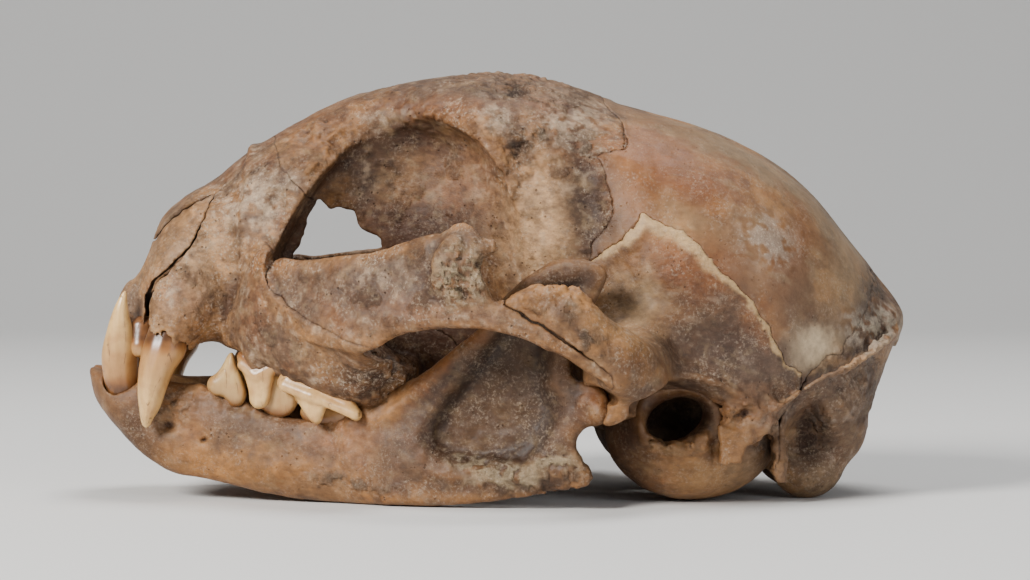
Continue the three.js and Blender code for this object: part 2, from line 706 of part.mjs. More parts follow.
// The left knuckle of the jaw joint, a short roller across the jaw.
function jawKnuckle(grow = 0) {
  return body("y", -31 - grow, -18 + grow, 5, {
    ring: 10,
    grow,
    middle: smooth([-31, 10.4], [-18, 10]),
    half: smooth([-31, 1.1], [-28, 2], [-21, 1.9], [-18, 0.9]),
    high: smooth([-31, 13.8], [-27, 14.6], [-21, 14.4], [-18, 13.2]),
    low: smooth([-31, 12], [-27, 10.6], [-21, 10.4], [-18, 11.8]),
  });
}

// ---------- Assembly ----------

const bone = () => new THREE.MeshStandardMaterial({ color: boneColour, roughness: 0.72, metalness: 0 });
const enamel = () => new THREE.MeshStandardMaterial({ color: enamelColour, roughness: 0.35, metalness: 0 });

// Everything below the floor is trimmed off, so that the skull rests on small flats.
const roomLength = 120;
const roomHeight = 60;
const roomShape = new THREE.BoxGeometry(roomLength, 2 * outside, roomHeight);
const room = solid(roomShape.translate(0, 0, roomHeight / 2));

const group = new THREE.Group();

function add(name, made, material) {
  const trimmed = biggest(made.translate([0, 0, -restFlat]).intersect(room).asOriginal().simplify(finest));
  const mesh = new THREE.Mesh(geometryOf(trimmed), material);
  mesh.name = name;
  group.add(mesh);
}

function addPair(name, made, material) {
  add(`${name}_left`, made, material());
  add(`${name}_right`, mirrored(made), material());
}

const leftCheek = together(cheek(), archRoot(), canineSwelling());
const face = together(forehead(), muzzle(), middleWall(), withMirror(leftCheek));
const faceWithSockets = face.subtract(withMirror(eyeSocket()));
const leftExtras = together(
  palateWing(), jawSocket(), earShelf(), earProcesses(), napeCrest(), neckKnuckle(), archProcess(),
  upperTeeth(), frontTeeth(-44.6, 19.8, 1),
);
const leftHollows = together(
  earOpening(), bullaShape(sutureGap), cheekboneShape(sutureGap), jawKnuckle(sutureGap),
  upperCanine(sutureGap), lowerCanine(sutureGap),
);
const cranium = together(
  faceWithSockets, braincase(), palate(), skullBase(), napeKnob(), midCrest(), napePlate(),
  withMirror(leftExtras),
)
  .subtract(withMirror(leftHollows))
  .subtract(together(spinalOpening(), nasalPassage(), wallBreach(), throatGroove()));

// Side outlines of the bones' seams, from the outside inwards.
const templeSeam = [
  [-2, 18], [-2, 27], [8, 27.2], [10.2, 28.1], [13.9, 30.7], [16.2, 33.4], [20.6, 31.4], [25.2, 26.8],
  [28.5, 23.4], [31.8, 18.1], [34.6, 15.1], [34.2, 12.4], [32.2, 9.6], [32, 4], [26, 4], [12, 6], [4, 9],
];
const napeSeam = [
  [51, 28], [45, 26.8], [43, 22.5], [40, 18.7], [38.1, 16.9], [35, 15], [33.6, 12], [32.3, 9.6], [30, 6],
  [16, 12], [16, -2], [51, -2],
];
const baseSeam = [[-9, 11], [-4.6, 17.4], [3, 24], [9.8, 27.6], [13, 18], [17, 13], [17, -2], [-9, -2]];
const crownSeam = [
  [12.5, 52], [13, 46], [14.5, 42.4], [12.2, 38.4], [12.6, 33.6], [10.2, 27.6], [14, -2], [52, -2], [52, 52],
];
const foreheadSeam = [
  [-30, 46], [-26.6, 43], [-25.4, 39.4], [-23.6, 38.4], [-21.2, 34.4], [-14, 26], [-4, 17], [17, 17],
  [18, 52], [-30, 52],
];
const noseTipSeam = [
  [-48, 35], [-48, 18], [-41.4, 18], [-41.3, 23.8], [-40.4, 25.6], [-38.6, 27.2], [-37.2, 28.8],
  [-35.7, 30.6], [-34.9, 32.6], [-33.9, 34.8], [-36, 34.6], [-38.4, 33], [-41, 30.2], [-43, 31],
];
const noseRoofSeam = [
  [-44, 29.6], [-38.6, 32.6], [-33.8, 35], [-30, 38.4], [-25.6, 40.6], [-24, 46], [-36, 46],
];
const palateSeam = [[-22, 20], [-20, 10], [-3, 10], [-3, 30], [-16, 27]];

const templeInner = 14; // the temple bones lie further from the midline than this
const noseRoofHalf = 6.2;
const palateHalf = 8.4;
const [templeLeft, afterTemple] = part(cranium, templeSeam, -templeInner, -outside);
const [templeRight, afterTemples] = part(afterTemple, templeSeam, outside, templeInner);
const [nape, afterNape] = part(afterTemples, napeSeam, outside, -outside);
const [base, afterBase] = part(afterNape, baseSeam, outside, -outside);
const halfShape = new THREE.BoxGeometry(roomLength, outside, 2 * roomHeight);
const leftSide = solid(halfShape.translate(0, -outside / 2 - sutureGap / 2, 0));
const leftHalf = afterBase.intersect(leftSide);
const [crown, afterCrown] = part(leftHalf, crownSeam, pastMiddle, -outside);
const [foreheadBone, afterForehead] = part(afterCrown, foreheadSeam, pastMiddle, -outside);
const [noseTip, afterNoseTip] = part(afterForehead, noseTipSeam, pastMiddle, -outside);
const [noseRoof, afterNoseRoof] = part(afterNoseTip, noseRoofSeam, pastMiddle, -noseRoofHalf);
const [palateBone, upperJaw] = part(afterNoseRoof, palateSeam, pastMiddle, -palateHalf);

const jawWithTeeth = together(jawHalf(), lowerTeeth(), frontTeeth(-47.4, 15.4, -1));
const jaw = jawWithTeeth.subtract(lowerCanine(sutureGap)).intersect(leftSide);

addPair("incisive_bone", noseTip, bone);
addPair("nasal_bone", noseRoof, bone);
addPair("maxilla", upperJaw, bone);
addPair("palatine_bone", palateBone, bone);
addPair("frontal_bone", foreheadBone, bone);
addPair("parietal_bone", crown, bone);
add("temporal_bone_left", templeLeft, bone());
add("temporal_bone_right", templeRight, bone());
add("occipital_bone", nape, bone());
add("sphenoid_bone", base, bone());
addPair("ear_bulla", bullaShape().subtract(earOpening()), bone);
addPair("cheekbone", cheekboneShape(), bone);
addPair("lower_jaw", jaw, bone);
addPair("upper_canine", upperCanine(), enamel);
addPair("lower_canine", lowerCanine(), enamel);

export default group;
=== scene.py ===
import math

import bpy
import numpy as np
import openvdb
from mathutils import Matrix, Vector


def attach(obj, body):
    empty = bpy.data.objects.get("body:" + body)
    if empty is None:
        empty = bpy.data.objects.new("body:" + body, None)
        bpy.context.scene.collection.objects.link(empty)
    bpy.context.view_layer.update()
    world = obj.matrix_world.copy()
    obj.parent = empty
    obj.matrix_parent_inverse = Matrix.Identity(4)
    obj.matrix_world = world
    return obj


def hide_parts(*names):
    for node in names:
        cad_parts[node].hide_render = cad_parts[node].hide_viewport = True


# Cat skull with its lower jaw. The bones are carved from distance fields in millimetres
# (nose towards -X, left side towards -Y, floor at z = 0) and then brought to metres.

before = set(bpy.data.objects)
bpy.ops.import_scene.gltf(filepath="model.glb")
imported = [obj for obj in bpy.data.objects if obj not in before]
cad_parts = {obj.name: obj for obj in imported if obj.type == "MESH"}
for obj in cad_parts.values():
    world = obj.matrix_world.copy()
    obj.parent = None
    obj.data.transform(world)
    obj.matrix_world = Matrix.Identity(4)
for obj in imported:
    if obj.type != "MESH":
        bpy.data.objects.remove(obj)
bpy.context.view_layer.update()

carving = {"step": 0.22, "toothStep": 0.12, "quickStep": 0.5, "quickToothStep": 0.24}   # grid steps, mm
cell = carving["step"]
toothCell = carving["toothStep"]
noseX = -45.6
napeX = 49.0
beyond = 45   # past the skull's half breadth
band = 4   # how far round a shape its distance is worked out


# Curves and noise

def smooth(*pairs):
    # cubic through (place, value) pairs, flat beyond both ends
    place, value = np.array(pairs, float).T
    slope = np.gradient(value, place)

    def curve(at):
        at = np.clip(at, place[0], place[-1])
        i = np.clip(np.searchsorted(place, at) - 1, 0, len(place) - 2)
        width = place[i + 1] - place[i]
        t = (at - place[i]) / width
        ends = (2 * t**3 - 3 * t**2 + 1) * value[i] + (3 * t**2 - 2 * t**3) * value[i + 1]
        tilts = (t**3 - 2 * t**2 + t) * slope[i] + (t**3 - t**2) * slope[i + 1]
        return (ends + tilts * width).astype(np.float32)

    return curve


def read(item, *at):
    # a number stays as it is, a function is worked out at the place
    return item(*at) if callable(item) else item


def step(low, high, value):
    # 0 below low, 1 above high, smooth between
    t = np.clip((value - low) / (high - low), 0, 1)
    return t * t * (3 - 2 * t)


def noise(x, y, z, size, seed):
    # value noise from -1 to 1 whose lumps are about size across
    period = 32
    table = np.random.default_rng(seed).random((period, period, period)).astype(np.float32) * 2 - 1
    places, parts = [], []
    for axis in (x, y, z):
        at = np.asarray(axis, np.float32) / size + 100
        whole = np.floor(at).astype(int)
        places.append((whole % period, (whole + 1) % period))
        t = at - whole
        parts.append((1 - t * t * (3 - 2 * t), t * t * (3 - 2 * t)))
    total = 0
    for i in (0, 1):
        for j in (0, 1):
            for k in (0, 1):
                corner = table[places[0][i], places[1][j], places[2][k]]
                total = total + corner * parts[0][i] * parts[1][j] * parts[2][k]
    return total


def layered(x, y, z, size, seed, layers=3):
    # noise summed over halving sizes
    total, weight = 0, 0
    for i in range(layers):
        total = total + noise(x, y, z, size / 2**i, seed + i) / 1.7**i
        weight += 1 / 1.7**i
    return total / weight * 1.5


# Distance shapes: (low corner, high corner, distance)

def softMin(a, b, soft):
    # the smaller, less near^2 * soft / 4 where the two differ by less than soft
    near = np.maximum(soft - np.abs(a - b), 0) / soft
    return np.minimum(a, b) - near * near * soft / 4


def softMax(a, b, soft):
    # the larger, rounded the same way
    return -softMin(-a, -b, soft)


def body(axis, start, end, half, low, high, middle=0, waist=None, lean=0, grow=0,
         squareTop=0.9, squareBottom=0.9, ends=0.8):
    # rounded section |u/half|^p + |v/rise|^p = 1 with p = 2/square, carried along an axis
    order = {"x": (0, 1, 2), "y": (1, 0, 2), "z": (2, 0, 1)}[axis]

    def distance(*point):
        along, across, up = (point[i] for i in order)
        bottom = read(low, along) - grow
        top = read(high, along) + grow
        centre = (bottom + top) / 2 if waist is None else read(waist, along)
        v = up - centre + 0.001
        u = across - read(middle, along) - read(lean, along) * v
        above = v > 0
        rise = np.where(above, np.maximum(top - centre, 0.1), np.maximum(centre - bottom, 0.1))
        power = 2 / np.where(above, read(squareTop, along), read(squareBottom, along))
        wide = np.maximum(read(half, along) + grow, 0.1)
        ratio = ((np.abs(u) / wide) ** power + (np.abs(v) / rise) ** power) ** (1 / power)
        reach = np.sqrt(u * u + v * v)
        caps = np.maximum(start - grow - along, along - end - grow)
        return softMax(reach - reach / ratio, caps, ends)

    places = np.linspace(start, end, 80)
    curves = (half, low, high, middle, lean)
    spread = [np.broadcast_to(read(item, places), places.shape) for item in curves]
    wide, bottom, top, centre, tilt = spread
    reach = wide + np.abs(tilt) * (top - bottom)
    corners = [(start, end), ((centre - reach).min(), (centre + reach).max()), (bottom.min(), top.max())]
    lowCorner, highCorner = [0, 0, 0], [0, 0, 0]
    for axisNumber, (a, b) in zip(order, corners):
        lowCorner[axisNumber], highCorner[axisNumber] = a - grow, b + grow
    return lowCorner, highCorner, distance


def egg(centre, radii, turn=0, tip=0):
    # ellipsoid turned about z, then tipped about y, in degrees
    c, s = math.cos(math.radians(turn)), math.sin(math.radians(turn))
    ct, st = math.cos(math.radians(tip)), math.sin(math.radians(tip))
    centre, radii = np.array(centre, float), np.array(radii, float)

    def distance(x, y, z):
        x, y, z = x - centre[0], y - centre[1], z - centre[2]
        x, y = x * c + y * s, y * c - x * s
        x, z = x * ct + z * st, z * ct - x * st
        nearness = np.sqrt((x / radii[0]) ** 2 + (y / radii[1]) ** 2 + (z / radii[2]) ** 2) + 1e-4
        steepness = np.sqrt((x / radii[0] ** 2) ** 2 + (y / radii[1] ** 2) ** 2 + (z / radii[2] ** 2) ** 2)
        return nearness * (nearness - 1) / (steepness + 1e-4 / radii.min())

    reach = radii.max()
    return centre - reach, centre + reach, distance


def strand(points, radii, flat=(1, 1, 1)):
    # distance to a path less its changing radius, each axis divided by flat
    points, radii, flat = np.array(points, float), np.array(radii, float), np.array(flat, float)

    def distance(x, y, z):
        nearest = 1e3
        for a, b, thickA, thickB in zip(points[:-1], points[1:], radii[:-1], radii[1:]):
            span = (b - a) / flat
            dx, dy, dz = (x - a[0]) / flat[0], (y - a[1]) / flat[1], (z - a[2]) / flat[2]
            t = np.clip((dx * span[0] + dy * span[1] + dz * span[2]) / (span @ span), 0, 1)
            off = (dx - span[0] * t) ** 2 + (dy - span[1] * t) ** 2 + (dz - span[2] * t) ** 2
            nearest = np.minimum(nearest, np.sqrt(off) - thickA - (thickB - thickA) * t)
        return nearest * flat.min()

    reach = radii.max() * flat.max()
    return points.min(0) - reach, points.max(0) + reach, distance


def loopThrough(points, steps=4):
    # closed Catmull-Rom curve through side points
    points = np.array(points, float)
    before, after, later = np.roll(points, 1, 0), np.roll(points, -1, 0), np.roll(points, -2, 0)
    t = (np.arange(steps) / steps)[None, :, None]
    p0, p1, p2, p3 = (p[:, None, :] for p in (before, points, after, later))
    curve = p1 + 0.5 * t * (p2 - p0 + t * (2 * p0 - 5 * p1 + 4 * p2 - p3 + t * (3 * (p1 - p2) + p3 - p0)))
    return curve.reshape(-1, 2)


def outlineDistance(loop, x, z):
    # signed distance from (x, z) to a closed side outline, negative inside
    nearest, inside = 1e6, False
    for (ax, az), (bx, bz) in zip(loop, np.roll(loop, -1, 0)):
        ex, ez = bx - ax, bz - az
        dx, dz = x - ax, z - az
        t = np.clip((dx * ex + dz * ez) / (ex * ex + ez * ez), 0, 1)
        nearest = np.minimum(nearest, (dx - ex * t) ** 2 + (dz - ez * t) ** 2)
        if ez != 0:
            inside = inside ^ (((az > z) != (bz > z)) & (dx < ex * dz / ez))
    return np.where(inside, -1, 1).astype(np.float32) * np.sqrt(nearest)


def plate(loop, middle, outer, inner, soft=0.6, rough=0):
    # slab inside a side outline, from outer beyond its middle surface to inner behind it
    loop = np.array(loop, float)

    def distance(x, y, z):
        edge = outlineDistance(loop, x, z) + (rough * layered(x, 0 * z, z, 1.6, 5) if rough else 0)
        depth = y - read(middle, x, z)
        slab = np.maximum(-depth - read(outer, x, z), depth - read(inner, x, z))
        return softMax(edge, slab, soft)

    xs, zs = np.meshgrid(np.linspace(*spanOf(loop[:, 0]), 24), np.linspace(*spanOf(loop[:, 1]), 24))
    faces = ((-1, outer), (1, inner))
    depths = [read(middle, xs, zs) + side * read(item, xs, zs) for side, item in faces]
    low = [loop[:, 0].min(), np.min(depths), loop[:, 1].min()]
    high = [loop[:, 0].max(), np.max(depths), loop[:, 1].max()]
    return low, high, distance


def spanOf(values):
    # lowest and highest
    return values.min(), values.max()


class Clay:
    # a block of grid cells holding the distance to what has been modelled so far

    def __init__(self, low, high, gap=cell):
        self.low = np.floor(np.array(low, float) / gap) * gap
        counts = np.ceil((np.array(high, float) - self.low) / gap).astype(int) + 1
        self.axes = [(self.low[i] + gap * np.arange(counts[i])).astype(np.float32) for i in range(3)]
        self.field = np.full(counts, band, np.float32)

    def window(self, low, high, margin):
        # the cells between two corners widened by margin, and their places
        spans = []
        for axis, a, b in zip(self.axes, low, high):
            first, last = np.searchsorted(axis, (a - margin, b + margin))
            spans.append(slice(first, last))
        x, y, z = (axis[span] for axis, span in zip(self.axes, spans))
        return tuple(spans), (x[:, None, None], y[None, :, None], z[None, None, :])

    def whole(self):
        # the places of all cells
        x, y, z = self.axes
        return x[:, None, None], y[None, :, None], z[None, None, :]

    def add(self, shape, soft=1.0):
        # union with a shape, rounded over soft
        spans, point = self.window(shape[0], shape[1], band)
        blend = soft(*point) if callable(soft) else soft
        self.field[spans] = softMin(self.field[spans], shape[2](*point), blend)

    def cut(self, shape, soft=0.5):
        # takes a shape away, rounded over soft
        spans, point = self.window(shape[0], shape[1], band)
        self.field[spans] = softMax(self.field[spans], -shape[2](*point), soft)

    def press(self, centre, reach, depth, turn=0):
        # pushes the surface in by depth (out if negative) under a soft round thumb
        c, s = math.cos(math.radians(turn)), math.sin(math.radians(turn))
        far = 2.2 * max(reach)
        spans, (x, y, z) = self.window([v - far for v in centre], [v + far for v in centre], 0)
        dx, dy, dz = x - centre[0], y - centre[1], z - centre[2]
        u, w = dx * c + dz * s, dz * c - dx * s
        fade = np.exp(-((u / reach[0]) ** 2 + (dy / reach[1]) ** 2 + (w / reach[2]) ** 2))
        self.field[spans] += depth * fade

    def crease(self, points, width, depth):
        # pushes in (or out) along a path, with a round profile of this width
        path = strand(points, [0] * len(points))
        spans, point = self.window(path[0], path[1], 2.5 * width)
        away = path[2](*point)
        self.field[spans] += depth * np.exp(-((away / width) ** 2))


# Outer shape of the skull

dorsalLine = smooth(
    (noseX, 23.6), (-44.6, 26.2), (-43.2, 27.6), (-41.7, 30.4), (-40.4, 33), (-37.9, 35.5), (-34.2, 37.7),
    (-30.6, 40.6), (-27, 42.9), (-23.4, 44.9), (-18.5, 47.3), (-14, 48.6), (-8.8, 49.7), (2, 50.3),
    (7.5, 49.4), (13, 47.5), (18.4, 45.9), (23.8, 44.2), (29.3, 41.9), (34.7, 38.7), (38.4, 35.4),
    (42, 30.9), (45.6, 26.3), (48, 22.8), (napeX, 20.5))

toothLine = smooth(
    (noseX, 21.2), (-43.4, 20.6), (-40.9, 20.4), (-36.9, 19), (-31.3, 17.7), (-28, 16.4), (-26, 15.4),
    (-22, 13.8), (-18.7, 12.6), (-16, 12), (-12, 13.4))

skull = Clay((-50.5, -35.5, -1.5), (51, 3, 53))

forehead = body(
    "x", -30, 14,
    half=smooth((-30, 11.4), (-26, 11), (-22, 10.4), (-18, 9.7), (-14, 9.8), (-10, 11.4), (-6, 14),
                (-2.5, 16.4), (0, 17), (3, 16.6), (8, 16.2), (14, 16)),
    high=dorsalLine,
    waist=smooth((-30, 32), (-26, 34.5), (-22, 38), (-17, 42.4), (-12, 44.2), (-7, 43.4), (-3, 40.6),
                 (0, 37.6), (4, 37), (14, 36)),
    low=smooth((-30, 26), (-20, 27), (-10, 28), (-4, 27), (0, 24), (14, 24)),
    squareTop=smooth((-30, 0.8), (0, 0.8), (8, 0.92), (14, 1.05)), squareBottom=0.7)

muzzle = body(
    "x", noseX, -16,
    half=smooth((noseX, 3.4), (-44.8, 4.8), (-43.4, 5.8), (-42, 7.2), (-40.6, 9.8), (-38.4, 11.4),
                (-35.6, 11.1), (-32.6, 10.6), (-29.6, 12.2), (-26, 14.4), (-22, 14.4), (-16, 12)),
    high=dorsalLine,
    waist=smooth((noseX, 22.6), (-41, 23.4), (-36, 24), (-30, 24.5), (-22, 25), (-16, 26)),
    low=toothLine, squareTop=0.86, squareBottom=0.5)

canineSwelling = body(
    "z", 17.4, 33, ends=0.6, middle=smooth((17.4, -39.3), (18.6, -39.1), (20, -38.8), (22, -38),
                                           (25, -36.6), (33, -33.4)),
    half=smooth((17.4, 2.7), (20, 3), (25, 3.2), (33, 1.6)),
    low=smooth((17.4, -12.8), (20, -12.7), (22, -12.3), (25, -11.5), (33, -8.6)), high=-6)

cheek = body(
    "x", -32.4, -10.6, middle=smooth((-32.4, -8.4), (-30, -10.2), (-27, -11.8), (-23, -13.2),
                                     (-16, -13.6), (-10.6, -13.4)),
    half=smooth((-32.4, 2.2), (-30, 4.2), (-27, 5.6), (-23, 6.6), (-19, 6.9), (-15, 5.6), (-10.6, 2.2)),
    high=smooth((-32.4, 21), (-28, 28.3), (-25, 28), (-21, 25), (-16, 20.6), (-12.6, 17.4),
                (-10.6, 15.4)),
    low=lambda x: toothLine(x) + 0.6 * (x > -12), squareTop=0.6, squareBottom=0.5)

archFoot = smooth((-30, 12.2), (-28.8, 12.8), (-27, 13.8), (-24, 15.6), (-20, 17.8), (-16, 18.9),
                  (-12, 18.4))
archFlare = smooth((-30, 0.1), (-28.8, 0.16), (-27, 0.26), (-24, 0.46), (-20, 0.75), (-16, 1.15),
                   (-12, 1.3))
archRoot = plate(
    loopThrough([(-29.4, 24), (-28.2, 28.2), (-26.2, 28.6), (-24.2, 24.8), (-21.4, 22.8), (-18, 21),
                 (-15.4, 19.4), (-13.2, 18.4), (-11.6, 15.8), (-11.2, 14), (-13.4, 12.7), (-17, 12.2),
                 (-21, 13.8), (-26, 16), (-28.8, 19)], 2),
    lambda x, z: 1.3 - archFoot(x) - archFlare(x) * (z - toothLine(x)), 1.3, 4.5, soft=1.2, rough=0.25)

middleWall = body(
    "x", -30, 16, half=smooth((-30, 8), (-22, 8), (-14, 7.4), (-7, 8), (-2, 10), (3, 12.6), (8, 15),
                              (16, 18)),
    high=42, waist=smooth((-30, 30), (16, 26)),
    low=smooth((-30, 18), (-22, 16.4), (-13, 14.4), (-9, 13), (-4, 11.6), (6, 9.6), (16, 8)),
    squareTop=0.5, squareBottom=smooth((-30, 0.5), (-6, 0.55), (4, 1.1), (16, 0.8)))

braincase = body(
    "x", -17, 47.4,
    half=smooth((-17, 1), (-12, 6), (-6, 10), (-2, 12.8), (2, 15.4), (6, 17.2), (10, 17.7), (14, 19.8),
                (18, 21.4), (22, 22.2), (27, 21.8), (32, 20.2), (37, 17), (41, 13.4), (44, 9.6),
                (46.2, 6), (47.4, 3.5)),
    high=lambda x: dorsalLine(x) - 0.3 - 12 * step(-4, -16, x),
    waist=smooth((-17, 33), (-6, 33), (2, 31), (8, 28.5), (14, 26), (22, 24), (30, 22.5), (38, 20.5),
                 (47.4, 19)),
    low=smooth((-17, 31), (-12, 28), (-6, 24), (2, 17), (8, 11.5), (14, 8.6), (22, 7), (34, 6), (41, 7),
               (44, 9), (47.4, 16.5)),
    squareTop=0.92, squareBottom=smooth((-6, 0.9), (10, 0.62), (24, 0.5), (38, 0.6), (47, 0.9)))

palate = body(
    "x", -44, -8.6, half=smooth((-44, 4.6), (-40, 7.6), (-34, 8.8), (-28, 10.4), (-22, 13), (-16, 14),
                                (-12, 10.5), (-8.6, 6)),
    high=smooth((-44, 24.6), (-30, 22.6), (-20, 19), (-8.6, 16.4)),
    low=smooth((-44, 22), (-36, 20.6), (-28, 18.6), (-20, 15.8), (-8.6, 13)),
    squareTop=0.5, squareBottom=0.5)

skullBase = body(
    "x", -7, 38.6, half=smooth((-7, 5.6), (6, 6.2), (12, 7), (20, 6.4), (28, 7.6), (34, 10), (38.6, 9)),
    high=17, waist=smooth((-7, 13.6), (14, 10.5), (38.6, 8)),
    low=smooth((-7, 12.4), (6, 9.6), (14, 7.4), (24, 5), (32, 3.2), (38.6, 4.2)),
    squareTop=0.5, squareBottom=0.5)

napePlate = body(
    "z", 3.4, 20, middle=smooth((3.4, 34), (20, 38)),
    half=smooth((3.4, 7), (7, 9.6), (10, 9.6), (16, 8.8), (20, 9.6)),
    low=smooth((3.4, -10), (8, -13.6), (13, -15.6), (20, -11)),
    high=smooth((3.4, 10), (8, 13.6), (13, 15.6), (20, 11)))

midCrest = body(
    "x", 8, 48.2, half=smooth((8, 0.8), (34, 1.3), (48.2, 2.2)),
    high=lambda x: dorsalLine(x) - 0.8 * step(30, 8, x), low=lambda x: dorsalLine(x) - 5, squareTop=0.7)

napeKnob = egg((45.6, 0, 20.9), (3.4, 7.4, 3.2))

napeCrest = strand(
    [(47.4, 2, 20.9), (47.1, -5, 19.4), (45.6, -10.2, 18.5), (43.4, -13.4, 17.1), (40.4, -16, 15.5),
     (37.2, -18.1, 14.6), (33.9, -19.4, 12.7), (32, -20, 11.5), (29.4, -20.4, 10.4)],
    [1.2, 0.7, 0.42, 0.36, 0.34, 0.34, 0.34, 0.34, 0.3], (1, 2.2, 1))
earCrest = strand(
    [(13, -25, 13.8), (14.8, -24.6, 14.7), (17.1, -23.6, 15.2), (19.7, -23, 15.3), (22.4, -22.5, 15),
     (25, -21.8, 14.2), (27.6, -20.9, 12.7), (29.8, -20.3, 11)],
    [0.8, 0.6, 0.5, 0.45, 0.45, 0.45, 0.4, 0.3], (1, 1.8, 1))
earRecess = egg((19.8, -24.4, 11.4), (7.4, 5.8, 3.1), 2, -8)

wingOfPalate = plate(
    [(-9.5, 14.5), (-8.4, 11.8), (0, 9.4), (6.4, 6.6), (8.6, 5.4), (9.4, 6.4), (8.2, 9.4), (9, 12),
     (0, 15)],
    -4.5, 0.7, 0.7)

jawSocket = body(
    "y", -33, -16, middle=smooth((-33, 13), (-30.6, 13.2), (-28.6, 13.2), (-26, 13.8), (-21, 15.2),
                                 (-16, 15.6)),
    half=smooth((-33, 1), (-30.6, 2.4), (-28.6, 3.8), (-26, 4.7), (-21, 5.8), (-16, 8.6)),
    high=smooth((-33, 19.4), (-30, 20), (-26, 19.8), (-22, 21.4), (-19, 24), (-16, 25.5)),
    low=smooth((-33, 14.4), (-29, 12.8), (-24, 11.4), (-16, 9)), squareTop=0.8, squareBottom=0.8)

jawStop = plate(
    loopThrough([(10.8, 15), (12.0, 12.6), (11.2, 10.2), (12.4, 9.8), (15.4, 11.4), (18, 13), (16, 16)]),
    -23, 5.4, 5.4, soft=1.2)

earShelf = body(
    "x", 13, 31, middle=smooth((13, -21), (18, -20.4), (24, -19.6), (31, -18.4)),
    half=smooth((13, 2.8), (20, 2.8), (31, 1.4)),
    high=smooth((13, 17), (20, 17), (26, 15.6), (31, 11.8)),
    low=smooth((13, 12.6), (17, 13.9), (22, 14.1), (26, 12.6), (31, 9)))

mastoid = plate(
    [(25, 13), (25, 10), (25, 6.6), (25.2, 5.2), (27.4, 5), (28.4, 7), (30, 8.3), (31.6, 9.4),
     (31.8, 12.4), (28, 14)],
    lambda x, z: -19.9 + 0.12 * (x - 25), 1.3, 3, soft=0.5, rough=0.5)

earStrip = plate(
    [(30.6, 13), (34.4, 13.4), (33.5, 8), (33.2, 2.2), (32.4, 1.9), (31.7, 2.6), (31.5, 7)],
    -16.2, 1.7, 2.4, rough=0.35)

neckKnuckle = egg((36.6, -8.4, 4.5), (4.8, 3.6, 4.7), 24)
upperKnuckle = egg((40.4, -8, 7.6), (3.2, 2.8, 3.6), 30)

archProcess = body(
    "x", 0, 18.6, middle=smooth((0, -31.4), (6, -32.1), (11, -31.6), (15, -29), (18.6, -25)),
    half=smooth((0, 0.9), (5, 1.4), (12, 1.9), (18.6, 2.4)),
    high=smooth((0, 23.9), (2.6, 25.2), (4.6, 25.6), (7.9, 25.1), (9.6, 23.8), (11.8, 22), (14.1, 20.5),
                (16.4, 18.4), (18.6, 16)),
    low=smooth((0, 23.4), (2.9, 21.7), (6.2, 19.9), (9, 17.8), (11, 15.8), (12.4, 14), (14, 13.4),
               (18.6, 12.6)),
    squareTop=0.7, squareBottom=0.7)

socketRim = loopThrough([
    (-26.8, 27), (-25.6, 31), (-22.6, 36.4), (-19.4, 40.6), (-16, 43.6), (-12, 45.2), (-8, 45.2),
    (-4.6, 43.6), (-1.6, 40.8), (0.6, 37), (2.4, 32), (4, 27), (2, 20), (-6, 17.4), (-16, 19.4),
    (-23.6, 22.6)], 3)


def eyeSocket():
    # the rim outline shrinks towards (-11, 32) with depth, like a bowl
    size = smooth((-36, 1.22), (-22, 1.08), (-15, 1), (-11, 0.9), (-9, 0.74), (-8, 0.5))
    centreX = smooth((-15, -11), (-11, -11.6), (-9, -13), (-8, -14))

    def distance(x, y, z):
        scale = size(y)
        rim = outlineDistance(socketRim, -11 + (x - centreX(y)) / scale, 32 + (z - 32) / scale) * scale
        return softMax(rim, y + 8, 2.4)

    return (-34, -36, 12), (9, -8, 50), distance


# Hollows

spinalOpening = body(
    "x", 31, 52, half=smooth((31, 3), (36, 5.4), (42, 6.2), (50, 6.8)),
    high=smooth((31, 9.5), (36, 11), (42, 11.6), (50, 12.6)),
    low=smooth((31, 6), (36, 4.4), (39, 3.6), (50, -1)))

nasalPassage = body(
    "x", noseX - 2, -13, half=smooth((noseX - 1, 3.2), (-43, 4.6), (-38, 5.4), (-30, 6.2), (-24, 7),
                                     (-13, 6.6)),
    high=smooth((noseX - 1, 29), (-42, 32), (-37, 33.8), (-30, 37.4), (-22, 39), (-13, 36)),
    low=smooth((noseX - 1, 23.6), (-38, 24.4), (-30, 23), (-20, 22), (-13, 24)),
    squareTop=0.8, squareBottom=0.7)

wallBreach = plate(
    [(-24.7, 27.4), (-23.6, 30.5), (-22.5, 33.4), (-21.5, 35.1), (-20.2, 34.1), (-18.8, 34.3),
     (-17.1, 34), (-16.5, 32.3), (-14.1, 30.5), (-14.1, 29.3), (-15.4, 28.6), (-16.2, 26.8)],
    0, 12.5, 12.5, soft=0.3, rough=0.35)
widerBreach = plate(
    [(-26.4, 26.6), (-25.8, 30), (-24.8, 33.4), (-23, 36), (-20, 35.6), (-16, 34.8), (-13.4, 31),
     (-13.4, 28), (-16, 26.4)],
    0, 13.6, 13.6, soft=0.3, rough=0.35)

brokenGum = plate(
    [(-43.6, 20.9), (-42, 20), (-40, 19), (-38, 18.2), (-36.4, 17.6), (-36.4, 15), (-43.6, 15)],
    -11, 5, 5, soft=0.3, rough=0.35)

throatGroove = body(
    "x", -9.2, 10, half=smooth((-9.2, 3.4), (0, 3.8), (10, 2.2)),
    high=smooth((-9.2, 15.6), (0, 13.6), (10, 9.4)), low=1, squareTop=0.6)

earOpening = egg((20.1, -19.5, 9.9), (3.5, 9, 2.35), 0, 22)


